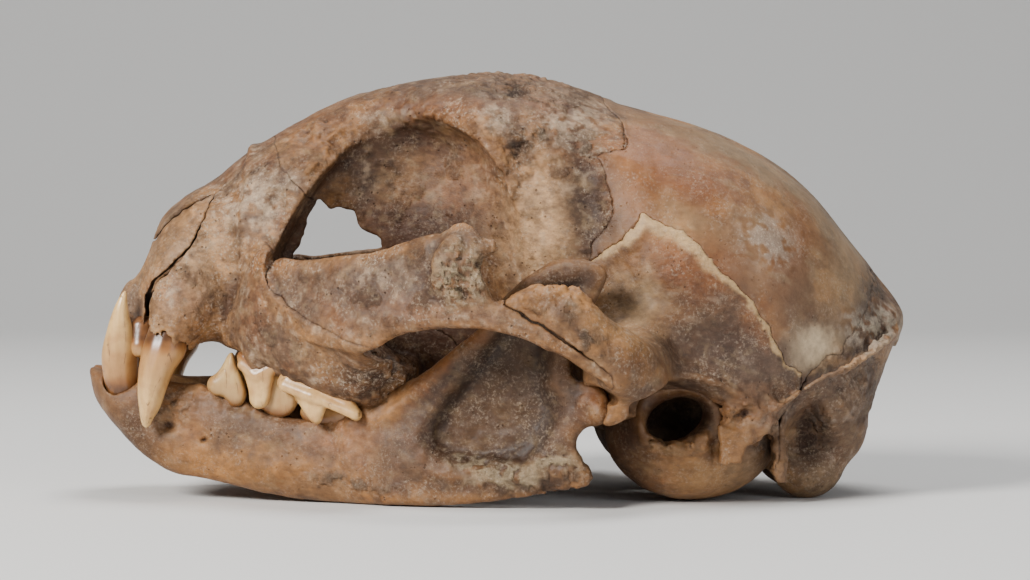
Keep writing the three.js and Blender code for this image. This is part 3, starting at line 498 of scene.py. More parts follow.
def bullaShape(grow=0):
    # egg with a short neck round the ear opening
    shell = egg((22.6, -12.9, 8.4), (10.6 + grow, 6.7 + grow, 8.3 + grow), 12)
    neck = body("y", -20.9, -13, grow=grow, middle=20.2,
                half=smooth((-20.9, 4.5), (-17, 5.2), (-13, 5.8)),
                low=smooth((-20.9, 6.7), (-17, 5.9), (-13, 5.4)), high=smooth((-20.9, 13.3), (-13, 14)))
    low, high = np.minimum(shell[0], neck[0]), np.maximum(shell[1], neck[1])
    return low, high, lambda x, y, z: softMin(shell[2](x, y, z), neck[2](x, y, z), 2.5)


cheekboneShape = body(
    "x", -27.4, 12,
    middle=smooth((-27.4, -14.8), (-26.8, -15.4), (-24, -18.1), (-20, -21.7), (-15, -25.2), (-8, -28.8),
                  (0, -31.2), (6, -32.1), (12, -32)),
    half=smooth((-27.4, 1.5), (-18, 1.5), (-8, 1.35), (4, 1.35), (9, 1.2), (12, 0.7)),
    high=smooth((-27.4, 27), (-26, 28.2), (-22.8, 28.2), (-18.3, 28.8), (-14.9, 29.2), (-11.6, 30.2),
                (-7.1, 31.5), (-3.8, 31.7), (-2.5, 28.6), (-1.6, 25), (0, 23.6), (2.9, 22), (6.2, 20.2),
                (9, 18.2), (12, 15.9)),
    low=smooth((-27.4, 24), (-24.6, 20.4), (-21.8, 19), (-18.4, 18.2), (-16, 18), (-14.1, 18.6),
               (-12, 19.8), (-9.5, 20.5), (0, 20.3), (2.9, 19.4), (6.2, 18), (9, 16.2), (12, 14.4)),
    lean=smooth((-27.4, 0.3), (-12, 0.15), (0, 0)), squareTop=0.6, squareBottom=0.6, ends=0.4)


def jawKnuckle(grow=0):
    # cross bar of the jaw joint; wider by grow it cuts its own socket
    return body("y", -27.4, -19, grow=grow, middle=smooth((-27.4, 11), (-24, 10.3), (-19, 9.6)),
                half=smooth((-27.4, 0.5), (-26.6, 0.8), (-24, 1.2), (-21, 1.3), (-19, 0.6)),
                high=smooth((-27.4, 11.8), (-26.4, 12.4), (-24, 13.7), (-21, 14), (-19, 13.2)),
                low=smooth((-27.4, 10.4), (-26.4, 10), (-24, 10.3), (-21, 10.9), (-19, 11.6)))


# Canine teeth: centre x, half breadth in x, near side y and far side y, by height
upperCanineForm = dict(
    start=8.5, end=22,
    middle=smooth((8.5, -41.5), (9.3, -41.45), (10.6, -41.15), (13, -40.8), (15, -40.35), (17, -39.55),
                  (19, -39.1), (22, -38.2)),
    half=smooth((8.5, 0.1), (8.8, 0.42), (9.3, 0.65), (10.6, 1.15), (13, 1.7), (15, 2.05), (17, 2.55),
                (19, 2.5), (22, 2.3)),
    near=smooth((8.5, -11.3), (9.3, -11.9), (12, -12.7), (16, -13.1), (18.4, -12.9), (20, -12.3),
                (22, -11.6)),
    far=smooth((8.5, -11.1), (9.3, -10.3), (12, -9.6), (16, -8.9), (19, -8.5), (22, -8.4)))
lowerCanineForm = dict(
    start=11, end=24.5,
    middle=smooth((11, -44.2), (14.3, -44.9), (17, -44.95), (19.7, -44.85), (21.6, -44.8), (23.4, -44.5),
                  (24.5, -44.2)),
    half=smooth((11, 2.0), (14.3, 2.1), (17, 2.15), (19.7, 1.6), (21.6, 1.05), (23.4, 0.55), (24.2, 0.26),
                (24.5, 0.06)),
    near=smooth((11, -7.4), (14.3, -8.2), (17, -8.9), (21, -9.1), (23.6, -8.8), (24.5, -8.5)),
    far=smooth((11, -4), (14.3, -4.4), (17, -5.2), (21, -6.7), (23.6, -7.8), (24.5, -8.3)))


def canineSocket(form, grow):
    # the tooth's own form, wider by grow
    return body("z", form["start"], form["end"], grow=grow, middle=form["middle"], half=form["half"],
                low=form["near"], high=form["far"], squareTop=0.95, squareBottom=0.95)


# Carving

def byHeight(x, y, z):
    # unions are tight along the profile and wide lower down
    return np.clip((dorsalLine(x) - z) / 7, 0.12, 1) * 3


skull.add(forehead, 0.1)
skull.add(muzzle, byHeight)
skull.add(middleWall, byHeight)
skull.add(cheek, 1.6)
skull.add(archRoot, 3.2)
skull.add(egg((-28.3, -13.8, 16.8), (1.4, 1.3, 1.5)), 1.4)
skull.add(canineSwelling, 4.2)
skull.cut(eyeSocket(), 0.3)
skull.add(braincase, byHeight)
skull.add(palate, 1)
skull.add(skullBase, 1.5)
skull.add(napeKnob, 1.6)
skull.add(midCrest, 1.2)
skull.add(napePlate, 1.6)
skull.add(wingOfPalate, 0.8)
skull.add(jawSocket, 2.6)
skull.add(jawStop, 1.4)
skull.add(earShelf, 1.6)
skull.add(mastoid, 0.8)
skull.add(earStrip, 0.5)
skull.add(napeCrest, 0.7)
skull.add(earCrest, 0.7)
skull.add(neckKnuckle, 0.9)
skull.add(upperKnuckle, 1.4)
skull.add(archProcess, 1.2)
skull.add(cheekboneShape, 1.1)
skull.add(egg((-5.6, -31, 27.4), (2.5, 1.0, 3.1), 0, -10), 1.0)
print("outer shape", skull.field.shape)


# ridges and dents
skull.crease([(-23, -22.4, 22.6), (-16, -27.6, 21.4), (-8, -30.6, 21.4), (-1, -33, 21)], 0.9, -0.3)
skull.crease([(2, -32.6, 24), (6, -33.4, 21.8), (10, -33, 18.8), (12, -32, 16.6)], 0.8, -0.4)
skull.crease([(-26.6, -17.6, 24.2), (-22, -22.4, 20.8), (-18, -25.6, 18.8)], 0.5, -0.25)
skull.press((-13, -29.6, 26.2), (6, 2.5, 2.4), 0.4)
skull.press((-20.4, -24.6, 25.8), (3, 2.5, 2), 0.2)
skull.cut(egg((-1.2, -31, 27.8), (1.9, 4, 2.6), 0, 15), 0.6)
skull.add(strand([(-4.8, -30.9, 30.2), (-1.5, -31.3, 30)], [1.5, 0.95], (1, 0.8, 1)), 1.5)
skull.press((-12.4, -21, 17.6), (2.4, 5, 1.8), 0.6)
skull.press((-14, -20.8, 15), (4, 3.4, 2.6), 0.9)
skull.crease([(-22.5, -12.5, 38.6), (-18, -11, 43.2), (-12, -11.4, 45.6), (-6, -13.6, 45),
              (-2, -16.2, 42), (0.6, -17, 38.4), (1.2, -17.2, 35.6)], 0.5, -0.5)
skull.crease([(3.5, -17.5, 43.2), (9, -14, 44.6), (18, -9, 44.6), (28, -4, 42)], 1.0, -0.18)
skull.crease([(-20, -8.2, 34), (-12, -9, 37), (-4, -12, 38.4), (1, -15, 37.6)], 0.7, -0.16)
skull.crease([(-14, -8, 24), (-6, -9, 27), (1, -13, 27.6), (7, -17, 27)], 1.4, 0.35)
skull.press((-12, -9, 41), (7, 4, 3), 0.6)   # roof of the socket
skull.press((10.6, -18, 33), (2.4, 5, 7), 0.6)   # waist behind the brow
skull.press((22, -22.5, 18.8), (7, 3, 2.6), 0.8)   # hollow above the ear shelf
skull.crease([(46.4, -8.4, 16.8), (44, -12, 15), (41.2, -14.4, 13.2), (38, -15.8, 12),
              (34.8, -16.8, 10.4)], 1.5, 1.7)
skull.crease([(45, -9.6, 20.4), (43, -12.4, 18.8), (40, -15.6, 17)], 1.3, -0.45)
skull.press((5.2, -16, 31.6), (3, 4, 5), -0.45)   # front bulge of the braincase
skull.press((-32.4, -11.4, 26), (3, 3, 4.5), 0.2)   # behind the canine swelling
skull.press((35.9, -14, 8.4), (2.3, 5, 3.5), 3.6)   # hollow above the knuckle of the neck
skull.press((39, -13.5, 12.6), (3.4, 3, 2.6), 0.7)
skull.crease([(34.8, -15.8, 12.8), (32.5, -15.6, 9.3), (32.4, -15.2, 6.2)], 0.35, 0.6)
skull.press((46.2, -5, 21), (1.0, 3, 1.0), -0.3)
skull.crease([(-37.2, -8.6, 31.4), (-38, -8.2, 31)], 0.35, 0.5)
skull.press((44, -3, 12), (2, 3.5, 4), 0.5)

skull.cut(earRecess, 0.5)
skull.cut(earOpening, 0.8)
skull.cut(jawKnuckle(0.3), 0.3)
skull.cut(egg((10.8, -29, 13.3), (2.3, 5, 0.9), 0, -22), 0.3)
skull.cut(bullaShape(-0.04), 0.1)
skull.cut(brokenGum, 0.35)
skull.cut(canineSocket(upperCanineForm, 0.08), 0.3)
skull.cut(canineSocket(lowerCanineForm, 0.5), 0.5)
skull.cut(spinalOpening, 0.8)
skull.cut(nasalPassage, 0.5)
skull.cut(wallBreach, 0.25)
skull.cut(throatGroove, 0.6)


def weather(clay, where, size, amount, seed, lift=0):
    # rough ground: noise added to the distance inside a soft round region, raised by lift
    centre, reach = where
    spans, (x, y, z) = clay.window([c - r * 1.6 for c, r in zip(centre, reach)],
                                   [c + r * 1.6 for c, r in zip(centre, reach)], 0)
    u, v, w = (x - centre[0]) / reach[0], (y - centre[1]) / reach[1], (z - centre[2]) / reach[2]
    inside = u**2 + v**2 + w**2
    clay.field[spans] += amount * step(1.5, 0.6, inside ** 0.5) * (layered(x, y, z, size, seed) - lift)


weather(skull, ((-5.0, -31, 26.9), (2.9, 3, 3.1)), 0.85, 0.75, 50, 0.6)
weather(skull, ((-14, -28, 25), (13, 6, 6)), 1.3, 0.16, 51)
weather(skull, ((-3, -30, 31), (4, 4, 2)), 1.1, 0.5, 52)
weather(skull, ((44.4, -8, 19.8), (3.4, 7, 2.8)), 0.9, 0.38, 20, 0.3)
weather(skull, ((3, -18.4, 41), (4, 5, 4)), 0.9, 0.4, 21, 0.1)
weather(skull, ((1, -18.4, 37.6), (2, 4, 2.6)), 0.8, 0.4, 31)
weather(skull, ((2, -6, 49.6), (7, 9, 2.4)), 1.1, 0.4, 22)
weather(skull, ((8.5, -14.6, 44.4), (5, 5, 3)), 0.8, 0.24, 72)
weather(skull, ((-9, -12.6, 45), (9, 3, 1.4)), 0.8, 0.5, 73, 0.1)
weather(skull, ((26.6, -20.6, 10.6), (2.2, 2, 1.4)), 0.9, 0.9, 70, -0.2)
weather(skull, ((41, -11, 12), (5, 6, 5)), 1.6, 0.4, 71)
weather(skull, ((-13, -14, 15), (5, 9, 4.4)), 1.3, 0.8, 23)
weather(skull, ((-21, -11, 43), (3.4, 5, 3.4)), 1.2, 0.6, 24)
weather(skull, ((-13, -9, 47.4), (4, 7, 1.8)), 1.2, 0.35, 27)
weather(skull, ((6, -31, 24.6), (7, 4, 2)), 0.95, 0.6, 25, 0.1)
weather(skull, ((31, -17, 8.4), (5.4, 4, 6)), 1.1, 0.4, 26)
weather(skull, ((41, -14.6, 14.6), (7, 5, 3.4)), 1.2, 0.35, 28)
weather(skull, ((-39.6, -12.6, 18.8), (4, 3, 1.3)), 1.0, 0.3, 29)
weather(skull, ((-25, -16, 15.4), (7, 4, 1.6)), 1.0, 0.3, 30)
print("hollows and weathering")

# Seams between the bones, as side outlines

templeSeam = [
    (2.4, 15), (4.6, 21), (6.4, 24.6), (8.4, 27), (10.2, 28.1), (13.9, 30.7), (15.1, 32.2), (16.2, 33.6),
    (18.1, 32.8), (20.6, 31.6), (22.7, 29.8), (25.2, 26.8), (28.5, 23.9), (30.7, 20.6), (31.8, 18.1),
    (32.9, 16.3), (34.6, 15.1), (34.2, 12.4), (32.2, 9.6), (32, 4), (26, 4), (12, 6), (4, 9)]
napeSeam = [(51, 30), (45, 26.8), (43.4, 22.5), (41.5, 19.7), (40.1, 18.6), (39.6, 17.4), (38, 17),
            (36.4, 15.6), (35.2, 14.8), (33.6, 12), (32.3, 9.6), (30, 6), (16, 12), (16, -3), (51, -3)]
baseSeam = [(-9, 11), (-2, 12.6), (3, 19), (9.8, 27.6), (13, 18), (17, 13), (17, -3), (-9, -3)]
crownSeam = [(12.5, 54), (12.6, 46.6), (14.3, 44.5), (14.7, 42.3), (14.5, 41.2), (11.2, 40.3), (11.9, 39),
             (12.2, 37.1), (12.8, 35.2), (12.8, 33.8), (12.2, 32), (10.6, 30.3), (10.1, 27.6), (14, -3),
             (52, -3), (52, 54)]
browSeam = [(-30, 46), (-26.6, 43), (-25.8, 39), (-23.9, 36.9), (-21.2, 34.4), (-14, 26), (-4, 17),
            (13, 17), (15, 54), (-30, 54)]
noseTipSeam = [(-50, 35), (-50, 18), (-41.4, 18), (-41.5, 22.4), (-41.3, 23.8), (-40.5, 25.6),
               (-39, 26.9), (-37.3, 28.7), (-35.8, 30.5), (-35, 32.5), (-34.4, 34.2), (-33.6, 36),
               (-36.4, 34.6), (-38.4, 33.2), (-41, 30.4), (-44, 31)]
noseRoofSeam = [(-46, 29), (-41, 30.8), (-38.4, 33.2), (-33.8, 35.8), (-30, 38.4), (-25.6, 40.6),
                (-24, 48), (-38, 48)]
palateSeam = [(-22, 20), (-20, 10), (-3, 10), (-3, 30), (-16, 27)]
cheekSeam = [(-30, 34), (-26.1, 28.5), (-27.3, 26.3), (-26.6, 25), (-24.6, 23.3), (-21.8, 21.3),
             (-18.4, 19.7), (-16, 18.8), (-13.4, 18.6), (-10, 16.4), (4, 16), (8.6, 14.4), (11.4, 13.4),
             (12.4, 14.4), (12, 15.7), (10.7, 16.6), (9, 18), (6.2, 20), (2.9, 21.8), (0.1, 23.5),
             (0.4, 34)]
cheekInner = smooth((-30, -12.6), (-27, -13.6), (-24, -16.2), (-20, -19.6), (-15, -22.8), (-8, -26),
                    (2, -28.6), (12, -30.2))

noseCrack = smooth((18, 0.34), (23, 0.42), (26, 0.28), (30, 0.08), (34, 0.02), (36, -0.03))
cheekCrack = smooth((-28, -0.03), (-2, -0.03), (1, 0.07), (7, 0.1), (9.4, 0.02), (11.4, -0.08))
napeCrack = smooth((3, 0.05), (6, 0.2), (9, 0.26), (12, 0.16), (14.6, -0.02), (17, -0.1))
hairline = -0.06   # below zero the two edges sink into each other and leave a fine line
buried = -0.14   # and here hardly a line


def seam(points, x, z, wiggle=0.25, size=1.1):
    # signed distance to the outline, read at places nudged by noise so that the line wanders
    shiftX = wiggle * layered(x, 0 * z, z, size, 40)
    shiftZ = wiggle * layered(x, 0 * z, z, size, 49)
    return outlineDistance(np.array(points, float), x + shiftX, z + shiftZ).astype(np.float32)


# Each bone's outline, reach in y, half width of its seam and the wander of its line
divisions = {
    "cheekbone": (cheekSeam, (-beyond, -12), lambda x, z: cheekCrack(x), 0.2),
    "temporal_bone": (templeSeam, (-beyond, -14), hairline, 0.3),
    "occipital_bone": (napeSeam, (-beyond, beyond), lambda x, z: napeCrack(z), 0.45),
    "sphenoid_bone": (baseSeam, (-beyond, beyond), buried, 0.3),
    "parietal_bone": (crownSeam, (-beyond, 5), hairline, 0.22),
    "frontal_bone": (browSeam, (-beyond, 5), hairline, 0.3),
    "incisive_bone": (noseTipSeam, (-beyond, 5), lambda x, z: noseCrack(z), 0.2),
    "nasal_bone": (noseRoofSeam, (-6.6, 5), buried, 0.15),
    "palatine_bone": (palateSeam, (-8.4, 5), hairline, 0.2)}


def regionOf(name, x, y, z):
    # distance to a bone's share: inside its side outline and its reach in y
    points, reach, width, wiggle = divisions[name]
    region = np.maximum(seam(points, x, z, wiggle), np.maximum(reach[0] - y, y - reach[1]))
    if name == "cheekbone":   # only the outer face of the arch
        region = np.maximum(region, y - cheekInner(x))
    if name == "temporal_bone":   # all of the arch beyond the jaw joint belongs to it
        region = np.minimum(region, np.maximum(y + 23.5, -4 - x))
    return region


# the temple bone's scaly edge stands a little proud
x, y, z = skull.whole()
scaly = np.exp(-((seam(templeSeam, x, z, 0.3) + 0.9) / 0.9) ** 2)
skull.field -= 0.2 * scaly * step(-15, -17, y) * step(12, 16, z)

pieces = {}
rest = skull.field
for name in divisions:
    region = regionOf(name, x, y, z)
    gap = read(divisions[name][2], x, z)
    pieces[name] = np.maximum(rest, region + gap)
    rest = np.maximum(rest, gap - region)
    if name == "sphenoid_bone":   # the midline seam is fine in front and closed behind
        rest = np.maximum(rest, y - 0.05 + 0.07 * step(16, 10, x))
pieces["maxilla"] = rest
print("seams")

# Ear bulla, lower jaw

bulla = Clay((10, -25, -1.5), (35, -4, 19))
bulla.add(bullaShape(), 0.1)
bulla.press((17.5, -18, 4.4), (4, 3, 3), 0.3)
bulla.cut(strand([(24.2, -21, 9.2), (24.4, -20.4, 7.4), (24.7, -18.8, 4.9)], [0.55, 0.6, 0.3],
                 (1, 1.6, 1)), 0.5)
bulla.press((22.6, -19, 6.2), (2.4, 2, 1.2), -0.3)
bulla.crease([(15, -15, 12), (14.2, -15, 7), (16, -14.6, 2.8)], 0.7, 0.25)
bulla.cut(earRecess, 1.0)
bulla.cut(earOpening, 1.4)
weather(bulla, ((20.4, -19.6, 7), (4.4, 3, 1.6)), 0.9, 0.35, 54)
weather(bulla, ((22, -17, 4), (9, 5, 4)), 1.8, 0.14, 55)
bulla.cut(egg((21.6, -12.6, 8.6), (7.4, 4.6, 5.6), 12), 0.4)

lowerEdge = smooth(
    (-49, 14.2), (-48.2, 11.8), (-46.8, 9.6), (-45, 7.6), (-42, 4.8), (-39, 3.1), (-34.7, 2.4),
    (-31, 1.6), (-27.8, 0.9), (-24, 0.3), (-21, 0), (-4, 0), (0, 0.6))
jawFront = body(
    "x", -49, -8, low=lowerEdge, squareTop=0.75, squareBottom=0.8,
    middle=smooth((-49, -1.9), (-47.6, -3.2), (-45, -4.9), (-42, -6.2), (-38, -7.9), (-34, -9.4),
                  (-30, -10.7), (-25, -12), (-20, -13.6), (-14, -16.4), (-8, -18.7)),
    half=smooth((-49, 1.4), (-47.6, 2.9), (-45, 3.4), (-42, 3), (-38, 2.6), (-30, 2.4), (-20, 2.3),
                (-14, 1.9), (-8, 1.4)),
    high=smooth((-49, 15.4), (-47.6, 14.8), (-45, 13.9), (-42, 14.1), (-38, 13.6), (-34, 13.2), (-32, 12),
                (-30, 11.4), (-26, 10.2), (-21, 9.6), (-18, 10.4), (-15, 11.7), (-8, 12.5)))
chin = body("x", -47.8, -38.6, middle=-2.4, half=smooth((-47.8, 1.4), (-45, 2.2), (-38.6, 1)),
            high=smooth((-47.8, 14.4), (-42, 12), (-38.6, 8)),
            low=smooth((-47.8, 11.6), (-45, 7.8), (-42, 5.4), (-38.6, 5)))
branchOutline = loopThrough([
    (-17, 1.4), (-17, 9.6), (-13.4, 12.6), (-8.2, 15.8), (-5.3, 18.1), (-2.5, 20), (-0.2, 23.2),
    (2.1, 25.6), (5.4, 28.1), (8.3, 28.5), (10.9, 28), (11.9, 26.7), (11.2, 24.9), (10, 22.4),
    (8.6, 19.4), (7.7, 16.6), (8.6, 14.6), (11.2, 14.2), (11.6, 11.2), (9.9, 9.6), (8.6, 8.5), (8.4, 7),
    (9.3, 5.3), (10.1, 4.4), (9.6, 3), (6, 2.0), (1.6, 1.2), (-4, 0.4), (-9, 0.1)], 2)
fossaOutline = loopThrough([
    (-9.4, 9.4), (-6, 14.2), (-2.6, 18.8), (0.6, 22.6), (3.6, 25.4), (7.4, 26.6), (9.6, 26), (8.6, 22.8),
    (6.6, 18.6), (6.2, 14.4), (7.6, 11.4), (5.8, 7.6), (3.6, 5), (-1, 4), (-5.4, 4.4), (-8.6, 5.6),
    (-10, 7.4)], 2)


def branchOuter(x, z):
    # thick rim, thin floor inside the hollow for the chewing muscle
    inner = np.clip(-outlineDistance(fossaOutline, x, z) / 2.6, 0, 1)
    return 1.9 * step(-17, -9.5, x - 0.35 * (z - 6)) - 1.75 * inner * inner * (3 - 2 * inner)


jaw = Clay((-51, -35, -1.5), (15, 2, 31))
jaw.add(jawFront, 0.1)
jaw.add(chin, 1.6)
jaw.add(plate(branchOutline, lambda x, z: -21.2 - 0.255 * x, branchOuter, 1.1, soft=1.1), 2.4)
jaw.add(jawKnuckle(), 1.6)
jaw.crease([(-18, -15.6, 8.6), (-13, -19, 10.6), (-8.4, -20.6, 14.4), (-4, -21.6, 18.4), (0, -22.6, 22.6),
            (3, -23.4, 25.4)], 0.9, -0.75)
jaw.crease([(-10, -20, 4.6), (-6, -21.6, 3.7), (0, -23, 3.5), (7, -24.6, 4.6)], 0.8, -0.55)
jaw.press((-3, -21, 10), (4.6, 3, 4.6), 0.5)
jaw.crease([(6.6, -24, 7), (8.4, -25, 10.4), (9.4, -26, 12.6)], 0.9, -0.4)
jaw.press((-26, -15, 6.4), (9, 2.6, 2), 0.2)
jaw.press((-40, -9.6, 9), (3.4, 2.4, 2.6), 0.35)
jaw.press((-39.3, -10.6, 8.8), (1.3, 2, 0.9), 0.7)
jaw.cut(egg((-39.1, -10.4, 8.7), (0.7, 1.5, 0.42), 0, -8), 0.5)
jaw.cut(egg((-34.8, -12.2, 7.0), (0.6, 1.3, 0.32), 0, 20), 0.3)
jaw.crease([(-38.8, -10, 9.6), (-36.6, -10.4, 10.4)], 0.5, 0.2)
jaw.cut(canineSocket(lowerCanineForm, 0.12), 0.5)
weather(jaw, ((3, -23, 4), (9, 5, 2.6)), 1.2, 0.5, 60)
weather(jaw, ((-3, -21.6, 10), (9, 5, 9)), 1.5, 0.18, 61)
weather(jaw, ((-28, -12, 12), (11, 5, 1.8)), 1.1, 0.5, 62)
weather(jaw, ((-19, -15, 10.6), (5, 4, 2.4)), 1.1, 0.5, 63)
weather(jaw, ((-26, -14, 7), (16, 5, 6)), 2.0, 0.14, 64)
weather(jaw, ((10, -28, 13), (3, 4, 3)), 1.4, 0.25, 65)
# the halves part at the midline and are flat underneath
jaw.field = np.maximum(jaw.field, jaw.axes[1][None, :, None] + 0.06)
jaw.field = softMax(jaw.field, -jaw.axes[2][None, None, :], 0.3)
print("jaw, bulla")

# Cheek teeth and front teeth


def teethOf(shapes, low, high, soft=0.35):
    # small smooth union of cusps on a finer grid
    clay = Clay(low, high, toothCell)
    for shape in shapes:
        clay.add(shape, soft)
    return clay


def cusp(base, tip, thick, point, flat=0.78):
    # round-ended cone from base to tip, flattened in y
    return strand([base, tip], [thick, point], (1, flat, 1))


def crown(outline, placeY, slope, thick, soft=1.3):
    # side outline with domed faces, its middle moving outwards by slope along the jaw
    middleX = np.mean([p[0] for p in outline])
    return plate(loopThrough(outline, 3), lambda x, z: placeY - slope * (x - middleX), thick, thick, soft)


upperCheekTeeth = teethOf([
    crown([(-30.6, 17.4), (-30.6, 16), (-29.9, 14.6), (-29.4, 12.9), (-29.2, 11.5), (-28.3, 10.8),
           (-27.2, 11.3), (-26.7, 12.9), (-26.3, 14.6), (-25.8, 15.8), (-26, 17.4), (-28.3, 18)],
          -13.3, 0.3, 1.2),
    crown([(-25.9, 14.4), (-25.6, 13.2), (-24.7, 12.9), (-23.9, 12.4), (-23, 10.9), (-21.8, 9.4),
           (-20.9, 9.4), (-20.3, 10.8), (-19.8, 11.6), (-19, 11.2), (-17.6, 10.1), (-16.6, 9.7),
           (-16, 10.5), (-16.9, 12), (-18.2, 14.6), (-21, 15.2), (-24, 16.4)], -16.6, 0.32, 1.3),
    cusp((-25.0, -16.4, 13.6), (-21.8, -17.6, 12.5), 0.62, 0.55),
    cusp((-21.8, -17.6, 12.5), (-16.9, -19.1, 10.5), 0.55, 0.5),
    cusp((-30.2, -13.5, 15.9), (-28.4, -14.3, 14.7), 0.42, 0.4),
    cusp((-28.4, -14.3, 14.7), (-26.3, -14.8, 15.7), 0.4, 0.42),
    cusp((-23.6, -14.4, 13.8), (-23.4, -14, 12), 1.2, 0.5, 0.9),
    egg((-14.6, -13.6, 12.9), (1.3, 2.3, 1.2)),
], (-33, -21, 8), (-12, -10, 20), 0.5)
lowerCheekTeeth = teethOf([
    crown([(-34.4, 13.1), (-34.2, 14.2), (-33.3, 14.9), (-32.6, 15.8), (-31.8, 17.2), (-31.2, 17.1),
           (-30.8, 15.8), (-30.2, 14.4), (-29.7, 12.6), (-30.2, 11.2), (-31.4, 10.9), (-32.4, 12),
           (-33.6, 12.2)], -10.9, 0.25, 1.35),
    crown([(-28.7, 12.4), (-28, 13.6), (-27.2, 14.4), (-26.4, 15.6), (-25.7, 15), (-25.2, 13.8),
           (-24.2, 13.2), (-23.5, 12.2), (-24.1, 10.6), (-25.4, 9.8), (-26.8, 10), (-28.2, 11)],
          -12.4, 0.28, 1.4),
    crown([(-23.4, 10.2), (-22.8, 11.6), (-21.6, 12.6), (-20.6, 12.8), (-19.6, 11.4), (-18.4, 12),
           (-17, 12.2), (-16, 11.2), (-16.2, 9.6), (-18, 8.8), (-22, 9)], -14.2, 0.3, 1.2),
], (-36, -18, 7.5), (-13, -8, 19), 0.3)


def frontTeeth(x, z, drop, turn):
    # three pegs beside the midline, growing outwards
    pegs = []
    for i in range(3):
        size = 0.58 + 0.19 * i
        top = (x + 0.5 * i * i, -0.95 - 1.4 * i, z + 0.25 * drop * i)
        tip = (top[0] - 0.5, top[1], top[2] - turn * (1.7 + 0.45 * i))
        pegs.append(cusp((top[0] + 0.3, top[1], top[2] + turn * 1.4), tip, size, size * 0.62, 0.85))
    return pegs


upperFrontTeeth = teethOf(
    frontTeeth(-44.7, 19.9, 1, 1) + [cusp((-42.2, -7, 19.8), (-42.4, -7.8, 17.9), 1.75, 1.35, 0.85)],
    (-48.5, -10, 15), (-39, 0.5, 23.5))
lowerFrontTeeth = teethOf(frontTeeth(-46.7, 14.8, -1, -1), (-50, -6, 11.5), (-42, 0.5, 18.5))


def canineGrid(form, around=56, along=110):
    # P(u, v): ellipse of the form's section at height v, turned by u; both ends drawn to a point
    t = np.linspace(0, 1, along)
    height = form["start"] + (form["end"] - form["start"]) * t
    middle, half = form["middle"](height), form["half"](height)
    near, far = form["near"](height), form["far"](height)
    centre, deep = (near + far) / 2, (far - near) / 2
    pinch = np.ones(along)
    pinch[[0, -1]] = 0.02
    angle = 2 * np.pi * np.arange(around) / around
    # two lengthwise grooves on the outer side
    groove = 1 - 0.03 * (np.exp(-((angle - 4.35) / 0.13) ** 2) + np.exp(-((angle - 4.85) / 0.13) ** 2))
    px = middle[:, None] + (half * pinch)[:, None] * np.cos(angle) * groove
    py = centre[:, None] + (deep * pinch)[:, None] * np.sin(angle) * groove
    pz = np.broadcast_to(height[:, None], px.shape)
    points = np.stack([px, py, pz], 2).reshape(-1, 3)
    row, column = np.meshgrid(np.arange(along - 1), np.arange(around), indexing="ij")
    after = (column + 1) % around
    quads = np.stack([row * around + column, row * around + after, (row + 1) * around + after,
                      (row + 1) * around + column], 2).reshape(-1, 4)
    return points, quads, [np.arange(around)[::-1], (along - 1) * around + np.arange(around)]


# Colour of each point

def srgb(r, g, b):
    # a screen tone of 0 to 255 as linear light
    value = np.array([r, g, b]) / 255
    return np.where(value < 0.04, value / 12.92, ((value + 0.055) / 1.055) ** 2.4)


tones = {
    "tan": srgb(132, 98, 66), "mauve": srgb(96, 74, 58), "dusk": srgb(60, 43, 33),
    "rust": srgb(122, 74, 38), "honey": srgb(160, 113, 64), "pale": srgb(200, 163, 124),
    "cream": srgb(212, 184, 144), "silver": srgb(166, 148, 128), "soil": srgb(164, 148, 122),
    "soot": srgb(30, 24, 20), "umber": srgb(66, 40, 24), "khaki": srgb(148, 124, 92),
    "rose": srgb(148, 106, 78), "enamel": srgb(234, 193, 128), "root": srgb(160, 106, 58),
    "slate": srgb(92, 82, 72)}

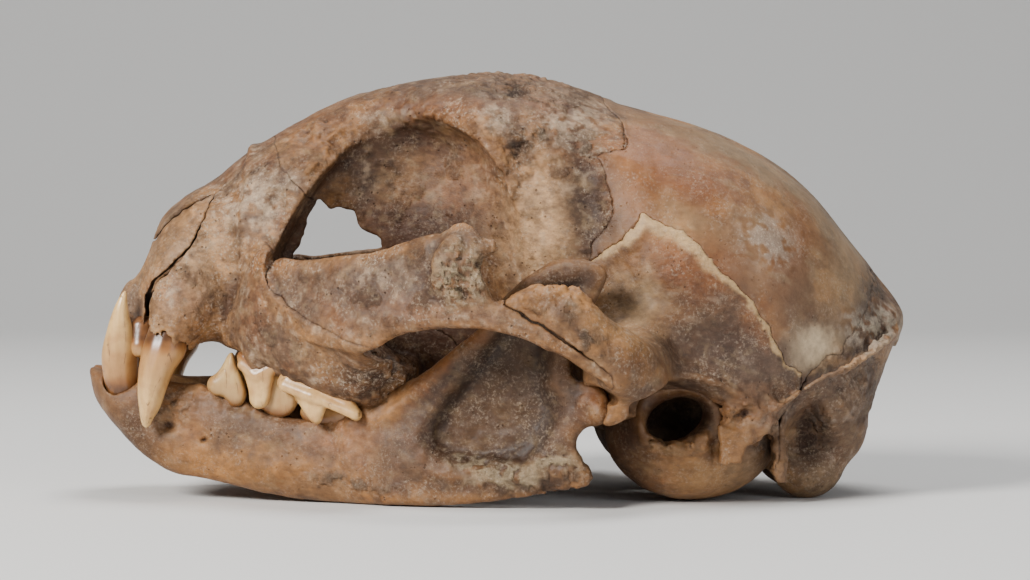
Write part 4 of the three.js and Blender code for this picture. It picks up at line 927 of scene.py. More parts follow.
# Stains on the outer side, with painted shade, painted light and a painted sheen among them: tone, x, z,
# reach along x, reach along z, turn, strength
colourWashes = [
    ("dusk", 27, 17, 10, 5, -10, 0.45), ("dusk", 40, 10, 8, 9, 0, 0.45), ("dusk", 24, 24, 5, 4, -20, 0.6),
    ("mauve", -8, 47, 12, 3.4, 0, 0.5), ("dusk", 16, 10.6, 2.6, 3.4, 0, 0.9),
    ("mauve", -2, 47.6, 14, 3, 0, 0.75), ("umber", -14, 30.4, 9, 4, 12, 0.9),
    ("dusk", -17, 39, 5, 3.4, 40, 0.6), ("umber", -3, 28.4, 3, 2, 0, 0.5),
    ("dusk", -15, 14.6, 3.4, 2, 0, 0.5), ("rust", -8, 45.6, 10, 1.4, 0, 0.65),
    ("honey", -0.9, 42.6, 3.4, 1.1, -48, 0.75), ("honey", -18.4, 42.6, 4.4, 1.6, 48, 0.6),
    # ("dusk", -13.5, 41.6) is painted shade under the eye socket's upper rim
    ("dusk", -13.5, 41.6, 6, 3.4, 25, 0.75), ("dusk", -18.5, 36.8, 3, 3.6, 0, 0.55),
    # ("umber", -9.5, 32) is painted shade deep in the eye socket
    ("umber", -9.5, 32, 7, 3.4, 0, 0.8), ("honey", -19.6, 35.6, 1.6, 2.6, -30, 0.7),
    ("rose", -4.6, 38, 5, 4, 0, 0.45), ("rose", -6, 35.4, 4, 1.2, 0, 0.4),
    # ("pale", 5, 32.4) is painted light on the front bulge of the braincase, where it faces the key light
    ("pale", 5, 32.4, 3.7, 6.4, 0, 0.95), ("pale", 0.2, 30.4, 4, 3, 0, 0.4),
    # both dusk marks on the next line are painted shade behind that bulge and the brow
    ("dusk", 9.9, 36, 3.3, 6, 8, 0.95), ("dusk", 10.8, 33, 3, 5.4, 0, 0.75),
    ("rust", 21, 38, 8, 4, -14, 0.95), ("rust", 16, 42, 5, 3, 0, 0.5),
    ("honey", 14.6, 34.6, 1.8, 5, 0, 0.45), ("rust", 34, 29.6, 2.4, 7.4, -28, 0.7),
    # ("silver", 30.2, 30.4) is a painted sheen on the parietal
    ("rust", 15.6, 35.4, 2.4, 4, 0, 0.55), ("silver", 30.2, 30.4, 3.6, 3, 0, 0.6),
    ("khaki", 27, 41, 9, 1.5, -24, 0.65), ("khaki", 38.4, 33.6, 6, 1.6, -46, 0.6),
    ("khaki", 41.6, 27, 3, 5, -30, 0.5), ("mauve", 34, 25, 3, 3, 0, 0.5),
    ("khaki", 21, 33.4, 4, 2, -30, 0.4), ("silver", 44.4, 19.8, 4, 2.8, 0, 0.95),
    ("soil", 45, 20.4, 3, 2, 0, 0.6), ("slate", 43.6, 21.6, 1.2, 0.8, 0, 0.6),
    ("slate", 44.4, 25.5, 1.4, 4, -30, 0.7), ("umber", -7, 18.4, 8.6, 4.6, 0, 0.95),
    ("cream", 36.7, 18.2, 2.9, 2.4, 0, 0.9), ("rust", 21.6, 27.4, 5.8, 3.6, 0, 0.9),
    ("rust", 29.6, 20.6, 2.4, 2.4, -30, 0.75), ("umber", 19.6, 24.6, 4, 2.2, 0, 0.4),
    ("mauve", 24, 17.4, 6, 3, 0, 0.9), ("dusk", 25.6, 18.4, 5, 3, 0, 0.8),
    # ("soot", 36.8, 7.8) is painted shade in the hollow above the knuckle of the neck
    ("khaki", 15.6, 24, 2, 4.4, 0, 0.4), ("soot", 36.8, 7.8, 2.5, 3.2, 0, 0.7),
    ("mauve", 40, 12.6, 3.4, 3.4, 0, 0.5), ("khaki", 38.4, 1.8, 3, 1.8, 0, 0.6),
    ("mauve", 15.6, 12, 1.8, 2.4, 0, 0.6), ("honey", 22.4, 3.6, 7, 2.3, 0, 0.7),
    ("rust", 18.8, 3, 1.6, 1.2, 0, 0.6), ("honey", 26, 8, 2, 1.7, 0, 0.6),
    ("soot", 26.6, 10.2, 0.9, 0.6, 0, 0.9), ("mauve", 29, 5, 2.4, 2.6, 0, 0.45),
    ("silver", -28.6, 34.8, 4.6, 3.6, 20, 0.75), ("pale", -33.4, 28, 3.4, 4, 0, 0.4),
    ("slate", -31, 24.2, 1.8, 1.2, 0, 0.3), ("rose", -37, 24, 3, 3, 0, 0.4),
    ("honey", -38, 33, 3, 1.6, 40, 0.4), ("mauve", -43, 22, 1.6, 1.6, 0, 0.3),
    ("umber", -16.2, 14.2, 3, 2, 0, 0.5), ("mauve", -18, 16.6, 4.6, 2.2, 0, 0.25),
    ("honey", -24, 20.6, 4, 1.1, -42, 0.5), ("soot", 1.5, 42, 1.5, 1.3, 0, 1.0),
    ("soot", 4.6, 43.2, 1.3, 0.9, 0, 0.8), ("soot", 1.6, 48.6, 2.6, 0.8, 0, 0.7),
    ("silver", 8.6, 44.4, 4, 3.2, 0, 0.7), ("slate", 10.4, 41.6, 2.4, 1.6, 0, 0.7),
    ("soot", 8.4, 46.4, 1.2, 0.6, 0, 0.6), ("slate", 43, 15, 4, 4, 0, 0.4),
    ("dusk", -13.6, 15.2, 3.6, 2.4, 0, 0.7), ("dusk", 37.6, 5, 4, 4, 0, 0.45),
    ("silver", -0.6, 44.8, 1.8, 1.4, 0, 0.7), ("rust", 5.4, 46.4, 3, 1.2, 0, 0.5)]
jawStainsAndShade = [
    ("mauve", -30, 11, 10, 2.4, -6, 0.5), ("honey", -29.3, 4.2, 10, 1.9, -4, 0.75),
    ("honey", -41, 6, 4, 1.6, -40, 0.5), ("mauve", -28.6, 9.8, 8, 1.9, -8, 0.75),
    ("slate", -39, 10.4, 3, 2, 0, 0.6), ("rose", -45, 11.6, 2.4, 3, 0, 0.3),
    ("dusk", -45, 8.4, 5.2, 6, 0, 0.9), ("mauve", -3, 12.4, 10, 8, 30, 0.8),
    ("dusk", -1, 13, 8, 8, 35, 0.75), ("umber", -8.4, 9.4, 3, 4, 30, 0.5),
    ("dusk", -12.6, 5.6, 2, 3, 0, 0.5), ("dusk", 0, 4.4, 11, 3, 4, 0.6),
    ("rust", -6, 16.6, 7.6, 0.8, 44, 0.6), ("slate", 4.6, 3.8, 6, 1.1, 8, 0.65),
    ("soil", 1, 4.3, 2.2, 0.7, 0, 0.8), ("soil", 5.4, 5.2, 2.8, 0.7, 20, 0.7),
    # ("umber", 6, 26) at this line's end is the cheek arch's painted shadow on the top of the jaw's branch
    ("soil", -3, 4.6, 2.4, 0.7, -10, 0.6), ("umber", 6, 26, 6.4, 2.4, 0, 0.85),
    ("umber", -15.4, 2.4, 5, 1, 0, 0.4), ("silver", 3.4, 9, 2.4, 3, 40, 0.3),
    ("umber", 7.6, 17, 2.4, 4, 0, 0.8), ("dusk", 10, 12.4, 2.8, 2.8, 0, 0.75),
    ("umber", -4, 17.4, 9, 1.8, 46, 0.45), ("rose", -19, 7, 4, 2.4, 0, 0.3),
    ("dusk", -1, 12.6, 9, 9.4, 35, 0.88), ("dusk", 4, 22, 4, 5, -30, 0.6),
    ("dusk", 7.6, 20, 3.6, 8, -10, 0.8), ("dusk", 6, 8, 5, 4.6, 0, 0.7),
    # ("dusk", 6.4, 25.6) is painted shadow of the arch there too
    ("dusk", 6.4, 25.6, 5.4, 2.4, 0, 0.8), ("rust", 10.6, 12.4, 1.3, 1.4, 0, 0.7),
    ("honey", -12, 11.6, 4.4, 0.9, 42, 0.45), ("rust", -4.4, 18.4, 8, 0.8, 48, 0.6),
    ("slate", -17.4, 2.4, 5, 0.8, -3, 0.7), ("soil", 0.6, 4.2, 3.2, 0.8, 3, 0.9),
    ("soil", 5.6, 5, 3, 0.7, 18, 0.8)]
cheekStains = [
    ("mauve", -13, 25.6, 11, 4.4, 8, 0.95), ("umber", -15, 24.4, 6, 2, 0, 0.45),
    ("umber", -8, 21.5, 9, 1.2, -4, 0.4), ("soil", -5.0, 26.9, 2.5, 2.7, 0, 1.0),
    ("silver", -14, 26.8, 3, 1.2, 0, 0.4), ("rose", -9, 22.8, 6, 1.1, -6, 0.4),
    ("honey", 3, 20.4, 6, 0.9, -28, 0.4), ("mauve", 1, 20.4, 6.4, 1.7, -20, 0.6),
    ("mauve", -2.6, 30, 2.4, 2, 0, 0.7), ("dusk", -7, 30.4, 4, 0.9, 14, 0.6),
    ("honey", -15, 29.4, 8, 0.4, 8, 0.4), ("rust", -19, 21.6, 3, 1, -40, 0.5),
    ("dusk", 9, 16.6, 3, 0.8, -34, 0.5)]
archStainsAndShade = [
    ("honey", 5.4, 24.4, 3.6, 1.4, 0, 0.95), ("honey", 11, 22, 3, 1.0, -38, 0.7),
    ("slate", 9.6, 20.2, 3.4, 1.4, -38, 0.8), ("umber", 13.6, 16.4, 2.6, 1.6, -40, 0.6),
    ("soot", 3.4, 23, 2, 0.5, -34, 0.5), ("honey", 13, 12.4, 1.6, 2, 0, 0.5),
    # ("dusk", 20, 13.2) is painted shade under the crest above the ear opening
    ("dusk", 6, 22.8, 5, 0.9, -34, 0.6), ("dusk", 20, 13.2, 7, 1.4, 0, 0.95),
    ("khaki", 15, 23, 3.4, 3, 0, 0.5)]
bullaStainsAndShade = [
    # ("dusk", 20, 11.6) is painted shade on the bulla's top under the crest above the ear opening
    ("dusk", 20, 11.6, 6, 2.4, 0, 0.9), ("umber", 15.6, 9, 2.6, 5, 0, 0.75),
    ("dusk", 14, 5, 2, 4, 0, 0.5), ("khaki", 19.4, 7, 2.6, 0.6, 0, 0.7),
    ("slate", 29.6, 7, 2, 2.2, 0, 0.7), ("umber", 24.4, 7, 0.8, 2.4, 0, 0.8),
    # ("dusk", 18.4, 12.4) and ("umber", 18.6, 12.6) are painted shade there too
    ("umber", 20, 10, 2.6, 1.8, 20, 0.7), ("dusk", 18.4, 12.4, 9, 2.2, 0, 0.95),
    ("umber", 18.6, 12.6, 8, 2.6, 0, 0.9), ("dusk", 20.4, 9.8, 3.2, 1.6, 15, 0.9),
    ("khaki", 25, 3, 6, 2.4, 0, 0.4), ("mauve", 17, 4.6, 4, 2.4, 0, 0.5)]


def mix(colour, other, amount):
    # colour moved towards other by amount, point by point
    return colour + (other - colour) * amount[:, None]


def paint(points, cavity, edge, marks, seed, dusty, wear):
    # ragged patches of the tones, then stains (painted shade, light and sheen among them), hollows darkened
    # with settled dirt and painted shade, and rims; returns colours, grit and dust
    px, py, pz = points.T
    broad = layered(px, py, pz, 9, seed, 5)
    patchy = layered(px, py, pz, 5, seed + 10, 5)
    mottle = layered(px, py, pz, 2.4, seed + 20, 4)
    fleck = layered(px, py, pz, 0.8, seed + 30, 2)
    streak = layered(px * 0.45, py, pz + 0.35 * px, 1.5, seed + 40)
    colour = np.repeat(tones["tan"][None], len(points), 0)
    colour = mix(colour, tones["mauve"], 0.8 * step(-0.12, 0.3, broad))
    colour = mix(colour, tones["honey"], 0.5 * step(0.05, 0.4, patchy + 0.2 * streak))
    colour = mix(colour, tones["rust"], 0.4 * step(0.05, 0.4, layered(px, py, pz, 4, seed + 50, 4)))
    warp = 1.3 * patchy
    warpZ = 1.6 * mottle
    grit = 0.45 * dusty * step(0.1, 0.5, mottle)
    dust = dusty * step(-0.1, 0.5, patchy + 0.4 * fleck)
    soil = np.zeros(len(points))
    for tone, x0, z0, reachX, reachZ, turn, strength in marks:
        c, s = math.cos(math.radians(turn)), math.sin(math.radians(turn))
        dx, dz = px + warp - x0, pz + warpZ - z0
        u, v = (dx * c + dz * s) / reachX, (dz * c - dx * s) / reachZ
        spot = np.exp(-((u * u + v * v) ** 1.3) * 0.9)
        if tone in ("soot", "soil", "slate", "silver"):
            spot = spot * step(-0.45, 0.15, mottle * 0.6 + fleck)
            grit = np.maximum(grit, spot * strength * (tone != "silver"))
            dust = np.maximum(dust, spot * strength * (tone in ("silver", "soil")))
            soil = np.maximum(soil, spot * strength * (tone == "soil"))
        colour = mix(colour, tones[tone], np.clip(spot * strength, 0, 1))
    colour = mix(colour, tones["dusk"], 0.4 * wear * step(0.12, 0.5, mottle))
    colour = mix(colour, tones["silver"], 0.5 * dusty * step(0.1, 0.5, -mottle) * step(0.05, 0.4, fleck))
    colour = mix(colour, tones["khaki"], 0.3 * step(0.3, 0.8, streak))
    colour *= (1 + 0.2 * patchy + 0.28 * wear * fleck)[:, None]
    # darker in hollows: dirt settled there and painted shade
    colour = mix(colour, tones["umber"] * 0.8, 0.85 * step(0.1, 0.8, cavity))
    colour = mix(colour, tones["honey"], 0.25 * step(0.1, 0.8, -cavity))
    colour = mix(colour, tones["umber"] * 0.5, 0.55 * step(0.16, 0.02, edge))
    colour = mix(colour, tones["soil"] * 1.1, soil * step(0.62, 0.2, cavity))
    colour *= 1 + step(17, 34, px)[:, None] * [0, 0.11, 0.34]   # greyer behind
    # and paler on the nose
    colour *= 1 + (step(-32, -38, px) * step(15, 18, pz))[:, None] * [0.06, 0.15, 0.27]
    return np.clip(colour, 0.004, 1), grit, np.clip(dust, 0, 1)


# Meshes

def normalsOf(points, quads):
    # face normals from the diagonals, summed at the points
    corners = points[quads]
    face = np.cross(corners[:, 2] - corners[:, 0], corners[:, 3] - corners[:, 1])
    total = np.zeros_like(points)
    for axis in range(3):
        weights = np.repeat(face[:, axis], 4)
        total[:, axis] = np.bincount(quads.ravel(), weights, len(points))
    return total / np.maximum(np.linalg.norm(total, axis=1), 1e-9)[:, None]


def sample(field, clay, points):
    # trilinear reading of a grid at the points
    at = (points - [axis[0] for axis in clay.axes]) / (clay.axes[0][1] - clay.axes[0][0])
    at = np.clip(at, 0, np.array(field.shape) - 1.001)
    i = at.astype(int)
    t = at - i
    total = 0
    for a in (0, 1):
        for b in (0, 1):
            for c in (0, 1):
                weight = abs(1 - a - t[:, 0]) * abs(1 - b - t[:, 1]) * abs(1 - c - t[:, 2])
                total = total + weight * field[i[:, 0] + a, i[:, 1] + b, i[:, 2] + c]
    return total


def blurred(field, steps, limit=1.6):
    # box blur of the distance, held within limit, along the three axes, twice
    made = np.clip(field, -limit, limit)
    for _ in range(2):
        for axis in range(3):
            wide = [(steps + 1, steps) if a == axis else (0, 0) for a in range(3)]
            total = np.cumsum(np.pad(made, wide, mode="edge"), axis, dtype=np.float32)
            ahead = np.take(total, np.arange(2 * steps + 1, total.shape[axis]), axis)
            behind = np.take(total, np.arange(0, total.shape[axis] - 2 * steps - 1), axis)
            made = (ahead - behind) / (2 * steps + 1)
    return made


def makeObject(name, points, quads, colour, material, caps=(), **masks):
    # mesh in metres from points in millimetres, its colours and masks as attributes, riding on the root
    mesh = bpy.data.meshes.new(name)
    loops = np.concatenate([quads.ravel(), *caps]).astype(np.int32)
    sizes = np.concatenate([np.full(len(quads), 4), [len(c) for c in caps]]).astype(np.int32)
    mesh.vertices.add(len(points))
    mesh.vertices.foreach_set("co", (points / 1000).astype(np.float32).ravel())
    mesh.loops.add(len(loops))
    mesh.loops.foreach_set("vertex_index", loops)
    mesh.polygons.add(len(sizes))
    mesh.polygons.foreach_set("loop_start", np.concatenate([[0], np.cumsum(sizes)[:-1]]).astype(np.int32))
    mesh.polygons.foreach_set("loop_total", sizes)
    mesh.update(calc_edges=True)
    mesh.validate()
    tone = mesh.attributes.new("tone", "FLOAT_COLOR", "POINT")
    opaque = np.column_stack([colour, np.ones(len(points))]).astype(np.float32)
    tone.data.foreach_set("color", opaque.ravel())
    for key, values in masks.items():
        mask = mesh.attributes.new(key, "FLOAT", "POINT")
        mask.data.foreach_set("value", np.asarray(values, np.float32))
    mesh.shade_smooth()
    mesh.materials.append(material)
    item = bpy.data.objects.new(name, mesh)
    bpy.context.collection.objects.link(item)
    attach(item, "root")
    return item


def withoutCrumbs(points, quads, share=0.02):
    # each point takes the lowest number in its quads until nothing changes; groups below share go
    label, before = np.arange(len(points)), None
    while before is None or (label != before).any():
        before = label
        spread = label.copy()
        np.minimum.at(spread, quads.ravel(), np.repeat(label[quads].min(1), 4))
        label = spread[spread]
    counts = np.bincount(label, minlength=len(points))
    kept = counts[label] > share * len(points)
    number = np.cumsum(kept) - 1
    return points[kept], number[quads[kept[quads[:, 0]]]]


def surfaceOf(field, axes):
    # crops to what is below zero and wraps it in quads
    solid = field < 0
    spans = []
    for axis in range(3):
        hit = np.flatnonzero(solid.any(axis=tuple(a for a in range(3) if a != axis)))
        spans.append((max(hit[0] - 1, 0), min(hit[-1] + 2, field.shape[axis])))
    block = np.full([b - a + 4 for a, b in spans], 1, np.float32)
    block[2:-2, 2:-2, 2:-2] = field[tuple(slice(a, b) for a, b in spans)]
    grid = openvdb.FloatGrid(1.0)
    grid.copyFromArray(np.ascontiguousarray(np.clip(block, -1, 1)))
    points, quads = grid.convertToQuads(0.0)
    start = np.array([axis[a] for axis, (a, b) in zip(axes, spans)])
    size = axes[0][1] - axes[0][0]
    return withoutCrumbs(points.astype(float) * size + start - 2 * size, quads.astype(np.int64))


def flipped(points, quads):
    # reflection in y = 0, its faces turned to stay outward
    return points * [1, -1, 1], quads[:, ::-1]


def relief(points, quads, grit, seed, wear):
    # fine unevenness along the normals: scales 2.4 and 0.8 mm, less on smooth bones, more where the grit is
    normals = normalsOf(points, quads)
    px, py, pz = points.T
    wave = 0.07 * layered(px, py, pz, 2.4, seed) + 0.03 * noise(px, py, pz, 0.8, seed + 5)
    wave = wave * (0.3 + 0.8 * wear)
    return points + normals * (wave + grit * 0.2 * noise(px, py, pz, 0.9, seed + 8))[:, None]


# Materials

class Value:
    # a number socket that does maths through Math nodes

    def __init__(self, sheet, socket):
        self.sheet, self.socket = sheet, socket

    def maths(self, operation, *others, clamp=False):
        # one Math node fed with this value and the others
        node = self.sheet.tree.nodes.new("ShaderNodeMath")
        node.operation, node.use_clamp = operation, clamp
        for i, item in enumerate((self, *others)):
            self.sheet.feed(node.inputs[i], item)
        return Value(self.sheet, node.outputs[0])

    def __add__(self, other):
        return self.maths("ADD", other)

    def __sub__(self, other):
        return self.maths("SUBTRACT", other)

    def __mul__(self, other):
        return self.maths("MULTIPLY", other)

    def __truediv__(self, other):
        return self.maths("DIVIDE", other)

    def __rsub__(self, other):
        return (self * -1) + other

    __radd__, __rmul__ = __add__, __mul__

    def between(self, low, high):
        # 0 below low, 1 above high
        return ((self - low) / (high - low)).maths("ADD", 0, clamp=True)


class Sheet:
    # one material's node tree

    def __init__(self, name):
        self.material = bpy.data.materials.new(name)
        self.material.use_nodes = True
        self.tree = self.material.node_tree
        self.tree.nodes.clear()

    def feed(self, socket, item):
        # links a socket or sets its constant
        item = item.socket if isinstance(item, Value) else item
        if isinstance(item, bpy.types.NodeSocket):
            self.tree.links.new(item, socket)
        elif isinstance(item, (tuple, list, np.ndarray)) and socket.type == "RGBA":
            socket.default_value = (*item[:3], 1)
        else:
            socket.default_value = item

    def node(self, kind, settings=None, **inputs):
        # any node, with its settings and its inputs by name
        made = self.tree.nodes.new(kind)
        for key, item in (settings or {}).items():
            setattr(made, key, item)
        for key, item in inputs.items():
            self.feed(made.inputs[key.replace("_", " ")], item)
        return made

    def vector(self, operation, a, b):
        # one Vector Math node
        made = self.node("ShaderNodeVectorMath", {"operation": operation})
        self.feed(made.inputs[0], a)
        self.feed(made.inputs[1], b)
        return made.outputs[0]

    def blend(self, amount, a, b, kind="MIX"):
        # one Mix node for colours
        made = self.node("ShaderNodeMix", {"data_type": "RGBA", "blend_type": kind})
        self.feed(made.inputs[0], amount)
        self.feed(made.inputs[6], a)
        self.feed(made.inputs[7], b)
        return made.outputs[2]

    def noise(self, place, scale, detail=3, rough=0.55):
        # a noise texture's value
        made = self.node("ShaderNodeTexNoise", Vector=place, Scale=scale, Detail=detail, Roughness=rough)
        return Value(self, made.outputs["Fac"])


boneLook = {"umber": 0.5, "khaki": 0.3, "colourWashes": 0.4, "pores": 0.75, "poreDepth": 0.16, "grit": 0.9,
            "roughness": 0.34, "specular": 0.34}


def boneMaterial(name):
    # tone * grain, then umber mottle, khaki, silver dust, fine stains and pores; bump from the same noises
    sheet = Sheet(name)
    place = sheet.vector("MULTIPLY", sheet.node("ShaderNodeTexCoord").outputs["Object"],
                         (1000, 1000, 1000))
    tone = sheet.node("ShaderNodeAttribute", {"attribute_name": "tone"}).outputs["Color"]
    masks = [sheet.node("ShaderNodeAttribute", {"attribute_name": key})
             for key in ("grit", "dust", "wear")]
    grit, dusty, wear = (Value(sheet, mask.outputs["Fac"]) for mask in masks)
    fibres = sheet.vector("MULTIPLY", place, (0.5, 1, 1))
    grain = sheet.noise(fibres, 1.7, 6, 0.68)
    fine = sheet.noise(place, 5.5, 4, 0.6)
    patches = sheet.noise(place, 0.3, 3)
    mottle = sheet.noise(sheet.vector("ADD", place, (11, 5, 17)), 0.75, 7, 0.66)
    dust = sheet.noise(sheet.vector("ADD", place, (31, 7, 3)), 2.8, 5, 0.72)
    cells = sheet.node("ShaderNodeTexVoronoi", Vector=place, Scale=1.3, Randomness=1.0)
    pores = Value(sheet, cells.outputs["Distance"])
    poreSpot = pores.between(0.19, 0.09) * sheet.noise(place, 0.35, 2).between(0.52, 0.6) * wear

    dark = sheet.blend(1.0, tone, (0.4, 0.36, 0.34), "MULTIPLY")
    light = sheet.blend(1.0, tone, (1.36, 1.28, 1.14), "MULTIPLY")
    colour = sheet.blend((grain.between(0.28, 0.72) - 0.55) * wear + 0.55, dark, light)
    colour = sheet.blend(mottle.between(0.5, 0.64) * wear * boneLook["umber"], colour, tones["umber"])
    colour = sheet.blend(mottle.between(0.46, 0.34) * wear * boneLook["khaki"], colour, tones["khaki"])
    dustSpot = dust.between(0.5, 0.66) * (patches.between(0.42, 0.66) * 0.3 + dusty * 0.75)
    colour = sheet.blend(dustSpot, colour, tones["silver"] * 1.35)
    colour = sheet.blend(fine.between(0.58, 0.72) * wear * boneLook["colourWashes"], colour,
                         tones["umber"] * 0.8)
    colour = sheet.blend(poreSpot * boneLook["pores"], colour, tones["umber"] * 0.4)
    crust = sheet.noise(place, 1.5, 6, 0.72)
    height = (grain * 0.1 + fine * 0.04) * wear - poreSpot * boneLook["poreDepth"] + dustSpot * 0.06
    height = height + grit * crust * boneLook["grit"]
    bump = sheet.node("ShaderNodeBump", Strength=1.0, Distance=0.001, Height=height)
    rough = boneLook["roughness"] + wear * 0.1 + grain * 0.22 + dustSpot * 0.3 + grit * 0.35
    shader = sheet.node("ShaderNodeBsdfPrincipled", Base_Color=colour, Roughness=rough,
                        Normal=bump.outputs[0])
    shader.inputs["Specular IOR Level"].default_value = boneLook["specular"]
    sheet.node("ShaderNodeOutputMaterial", Surface=shader.outputs[0])
    return sheet.material


toothLook = {"clouds": 0.5, "cracks": 0.6, "roughness": 0.3, "specular": 0.6, "milkiness": 0.15,
             "milkDepth": (0.001, 0.0009, 0.0007)}


def toothMaterial(name):
    # tone * upright streaks, then root-coloured clouds and fine cracks
    sheet = Sheet(name)
    place = sheet.vector("MULTIPLY", sheet.node("ShaderNodeTexCoord").outputs["Object"],
                         (1000, 1000, 1000))
    tone = sheet.node("ShaderNodeAttribute", {"attribute_name": "tone"}).outputs["Color"]
    upright = sheet.vector("MULTIPLY", place, (1, 1, 0.12))
    streaks = sheet.noise(upright, 1.2, 4, 0.6)
    clouds = sheet.noise(place, 0.55, 4)
    line = (sheet.noise(upright, 0.55, 1) - 0.5).maths("ABSOLUTE").between(0.01, 0.003)
    crack = line * clouds.between(0.5, 0.56)
    colour = sheet.blend(streaks.between(0.3, 0.7),
                         sheet.blend(1.0, tone, (0.78, 0.74, 0.66), "MULTIPLY"), tone)
    colour = sheet.blend(clouds.between(0.46, 0.68) * toothLook["clouds"], colour, tones["root"])
    colour = sheet.blend(crack * toothLook["cracks"], colour, tones["umber"])
    bump = sheet.node("ShaderNodeBump", Strength=0.5, Distance=0.001,
                      Height=streaks * 0.03 - crack * 0.05 + sheet.noise(place, 2.2, 3) * 0.02)
    shader = sheet.node("ShaderNodeBsdfPrincipled", Base_Color=colour, Normal=bump.outputs[0])
    shader.inputs["Roughness"].default_value = toothLook["roughness"]
    shader.inputs["Specular IOR Level"].default_value = toothLook["specular"]
    shader.inputs["Subsurface Weight"].default_value = toothLook["milkiness"]
    shader.inputs["Subsurface Radius"].default_value = toothLook["milkDepth"]
    sheet.node("ShaderNodeOutputMaterial", Surface=shader.outputs[0])
    return sheet.material


bone = boneMaterial("dry_bone")
enamel = toothMaterial("tooth_enamel")

# The bones

blurSteps = round(0.9 / cell)
pitDepth = 0.42   # blurred distance that counts as a full pit
softSkull = blurred(skull.field, blurSteps)
softJaw = blurred(jaw.field, blurSteps)
softBulla = blurred(bulla.field, blurSteps)


def hollowness(soft, clay, points):
    # how deep the point lies in a hollow, about -1 on crests to 1 in pits
    mirroredPoints = points.copy()
    mirroredPoints[:, 1] = -np.abs(points[:, 1])
    return -sample(soft, clay, mirroredPoints) / pitDepth, mirroredPoints


def seamDistance(node, points):
    # distance to the seams that border this bone
    px, py, pz = points.T
    base = node.replace("_left", "").replace("_right", "")
    order = list(divisions)
    bordering = order[:order.index(base) + 1] if base in order else order
    # the seam of the sphenoid is closed and stays pale
    bordering = [name for name in bordering if name != "sphenoid_bone"]
    return np.minimum.reduce([np.abs(regionOf(name, px, py, pz)) for name in bordering])


wearOn = {"parietal_bone": 0.3, "temporal_bone": 0.6, "frontal_bone": 0.8, "maxilla": 0.9,
          "incisive_bone": 0.7, "nasal_bone": 0.7, "cheekbone": 0.8, "occipital_bone": 0.7,
          "lower_jaw": 0.55, "ear_bulla": 0.5}
dustOn = {"maxilla": 0.9, "incisive_bone": 0.5, "nasal_bone": 0.7, "frontal_bone": 0.7, "cheekbone": 0.9,
          "parietal_bone": 0.15, "temporal_bone": 0.4, "occipital_bone": 0.5, "lower_jaw": 0.15,
          "ear_bulla": 0.1}


def bonePiece(name, node, points, quads, clay, soft, marks, seed, extra=None):
    # one bone: its colours, relief and mesh, and the solid that it stands for
    cavity, folded = hollowness(soft, clay, points)
    edge = seamDistance(node, folded) if clay is skull else np.full(len(points), 1.0)
    base = node.replace("_left", "").replace("_right", "")
    wear = wearOn.get(base, 0.7)
    colour, grit, dust = paint(points, cavity, edge, marks, seed, dustOn.get(base, 0.3), wear)
    if extra:
        colour = extra(points, colour)
    if clay is skull:   # the eye socket's inner wall is sheltered from dust
        within = step(0.8, -0.8, outlineDistance(socketRim, folded[:, 0], folded[:, 2]))
        inside = within * step(-16, -13, folded[:, 1])
        dust = dust * (1 - 0.85 * inside)
        # painted shade: the lower part of the eye socket is darkened with umber and its whole inner wall a
        # little
        bottom = step(36.5, 31, points[:, 2]) * step(2, -3, points[:, 0])
        colour = mix(colour, tones["umber"], 0.72 * inside * bottom)
        colour = colour * (1 - 0.1 * inside)[:, None]
    item = makeObject(name, relief(points, quads, grit, seed, wear), quads, colour, bone, grit=grit,
                      dust=dust, wear=np.full(len(points), wear))
    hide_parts(node)


creamEdge = np.array([(10.2, 28.1), (13.9, 30.7), (15.1, 32.2), (16.2, 33.6), (18.1, 32.8), (20.6, 31.6),
                      (22.7, 29.8), (25.2, 26.8), (28.5, 23.9), (30.7, 20.6), (31.8, 18.1), (32.9, 16.3),
                      (34.6, 15.1)])
zigzagEdge = np.array([(34.6, 15.1), (36.4, 15.6), (38, 16.6), (40.2, 16.2), (43, 16.8), (46, 18.6)])


def openDistance(path, x, z):
    # distance to an open side path
    nearest = 1e6
    for (ax, az), (bx, bz) in zip(path[:-1], path[1:]):
        ex, ez = bx - ax, bz - az
        t = np.clip(((x - ax) * ex + (z - az) * ez) / (ex * ex + ez * ez), 0, 1)
        nearest = np.minimum(nearest, np.hypot(x - ax - ex * t, z - az - ez * t))
    return nearest


def creamBand(points, colour):
    # pale worn margin just inside the scaly seam of the temple
    px, py, pz = points.T
    away = openDistance(creamEdge, px, pz) + 0.45 * layered(px, py, pz, 1.2, 90)
    width = smooth((10, 0.4), (14, 0.9), (18, 1.7), (22, 1.3), (26, 0.8), (32, 0.5), (35, 0.3))(px)
    return mix(colour, tones["cream"] * [0.84, 0.8, 0.72], 0.8 * step(1.25, 0.45, away / width))


def paleRidge(points, colour):
    # pale worn line along the zigzag at the nape
    px, py, pz = points.T
    away = openDistance(zigzagEdge, px, pz) + 0.3 * layered(px, py, pz, 1, 91)
    return mix(colour, tones["pale"], 0.35 * step(0.7, 0.2, away))


def fossaShade(points, colour):
    # the hollow for the chewing muscle is darker than its rim
    px, py, pz = points.T
    inner = -outlineDistance(fossaOutline, px, pz) + 0.6 * layered(px, py, pz, 2.5, 92)
    return colour * (1 - 0.45 * step(-0.6, 1.6, inner))[:, None]


def mirroredField(field, axes):
    # the left half and its reflection in y = 0
    last = int(np.argmin(np.abs(axes[1])))
    half = field[:, :last + 1]
    width = axes[1][:last + 1]
    whole = np.concatenate([half, half[:, -2::-1]], 1)
    return whole, [axes[0], np.concatenate([width, -width[-2::-1]]), axes[2]]


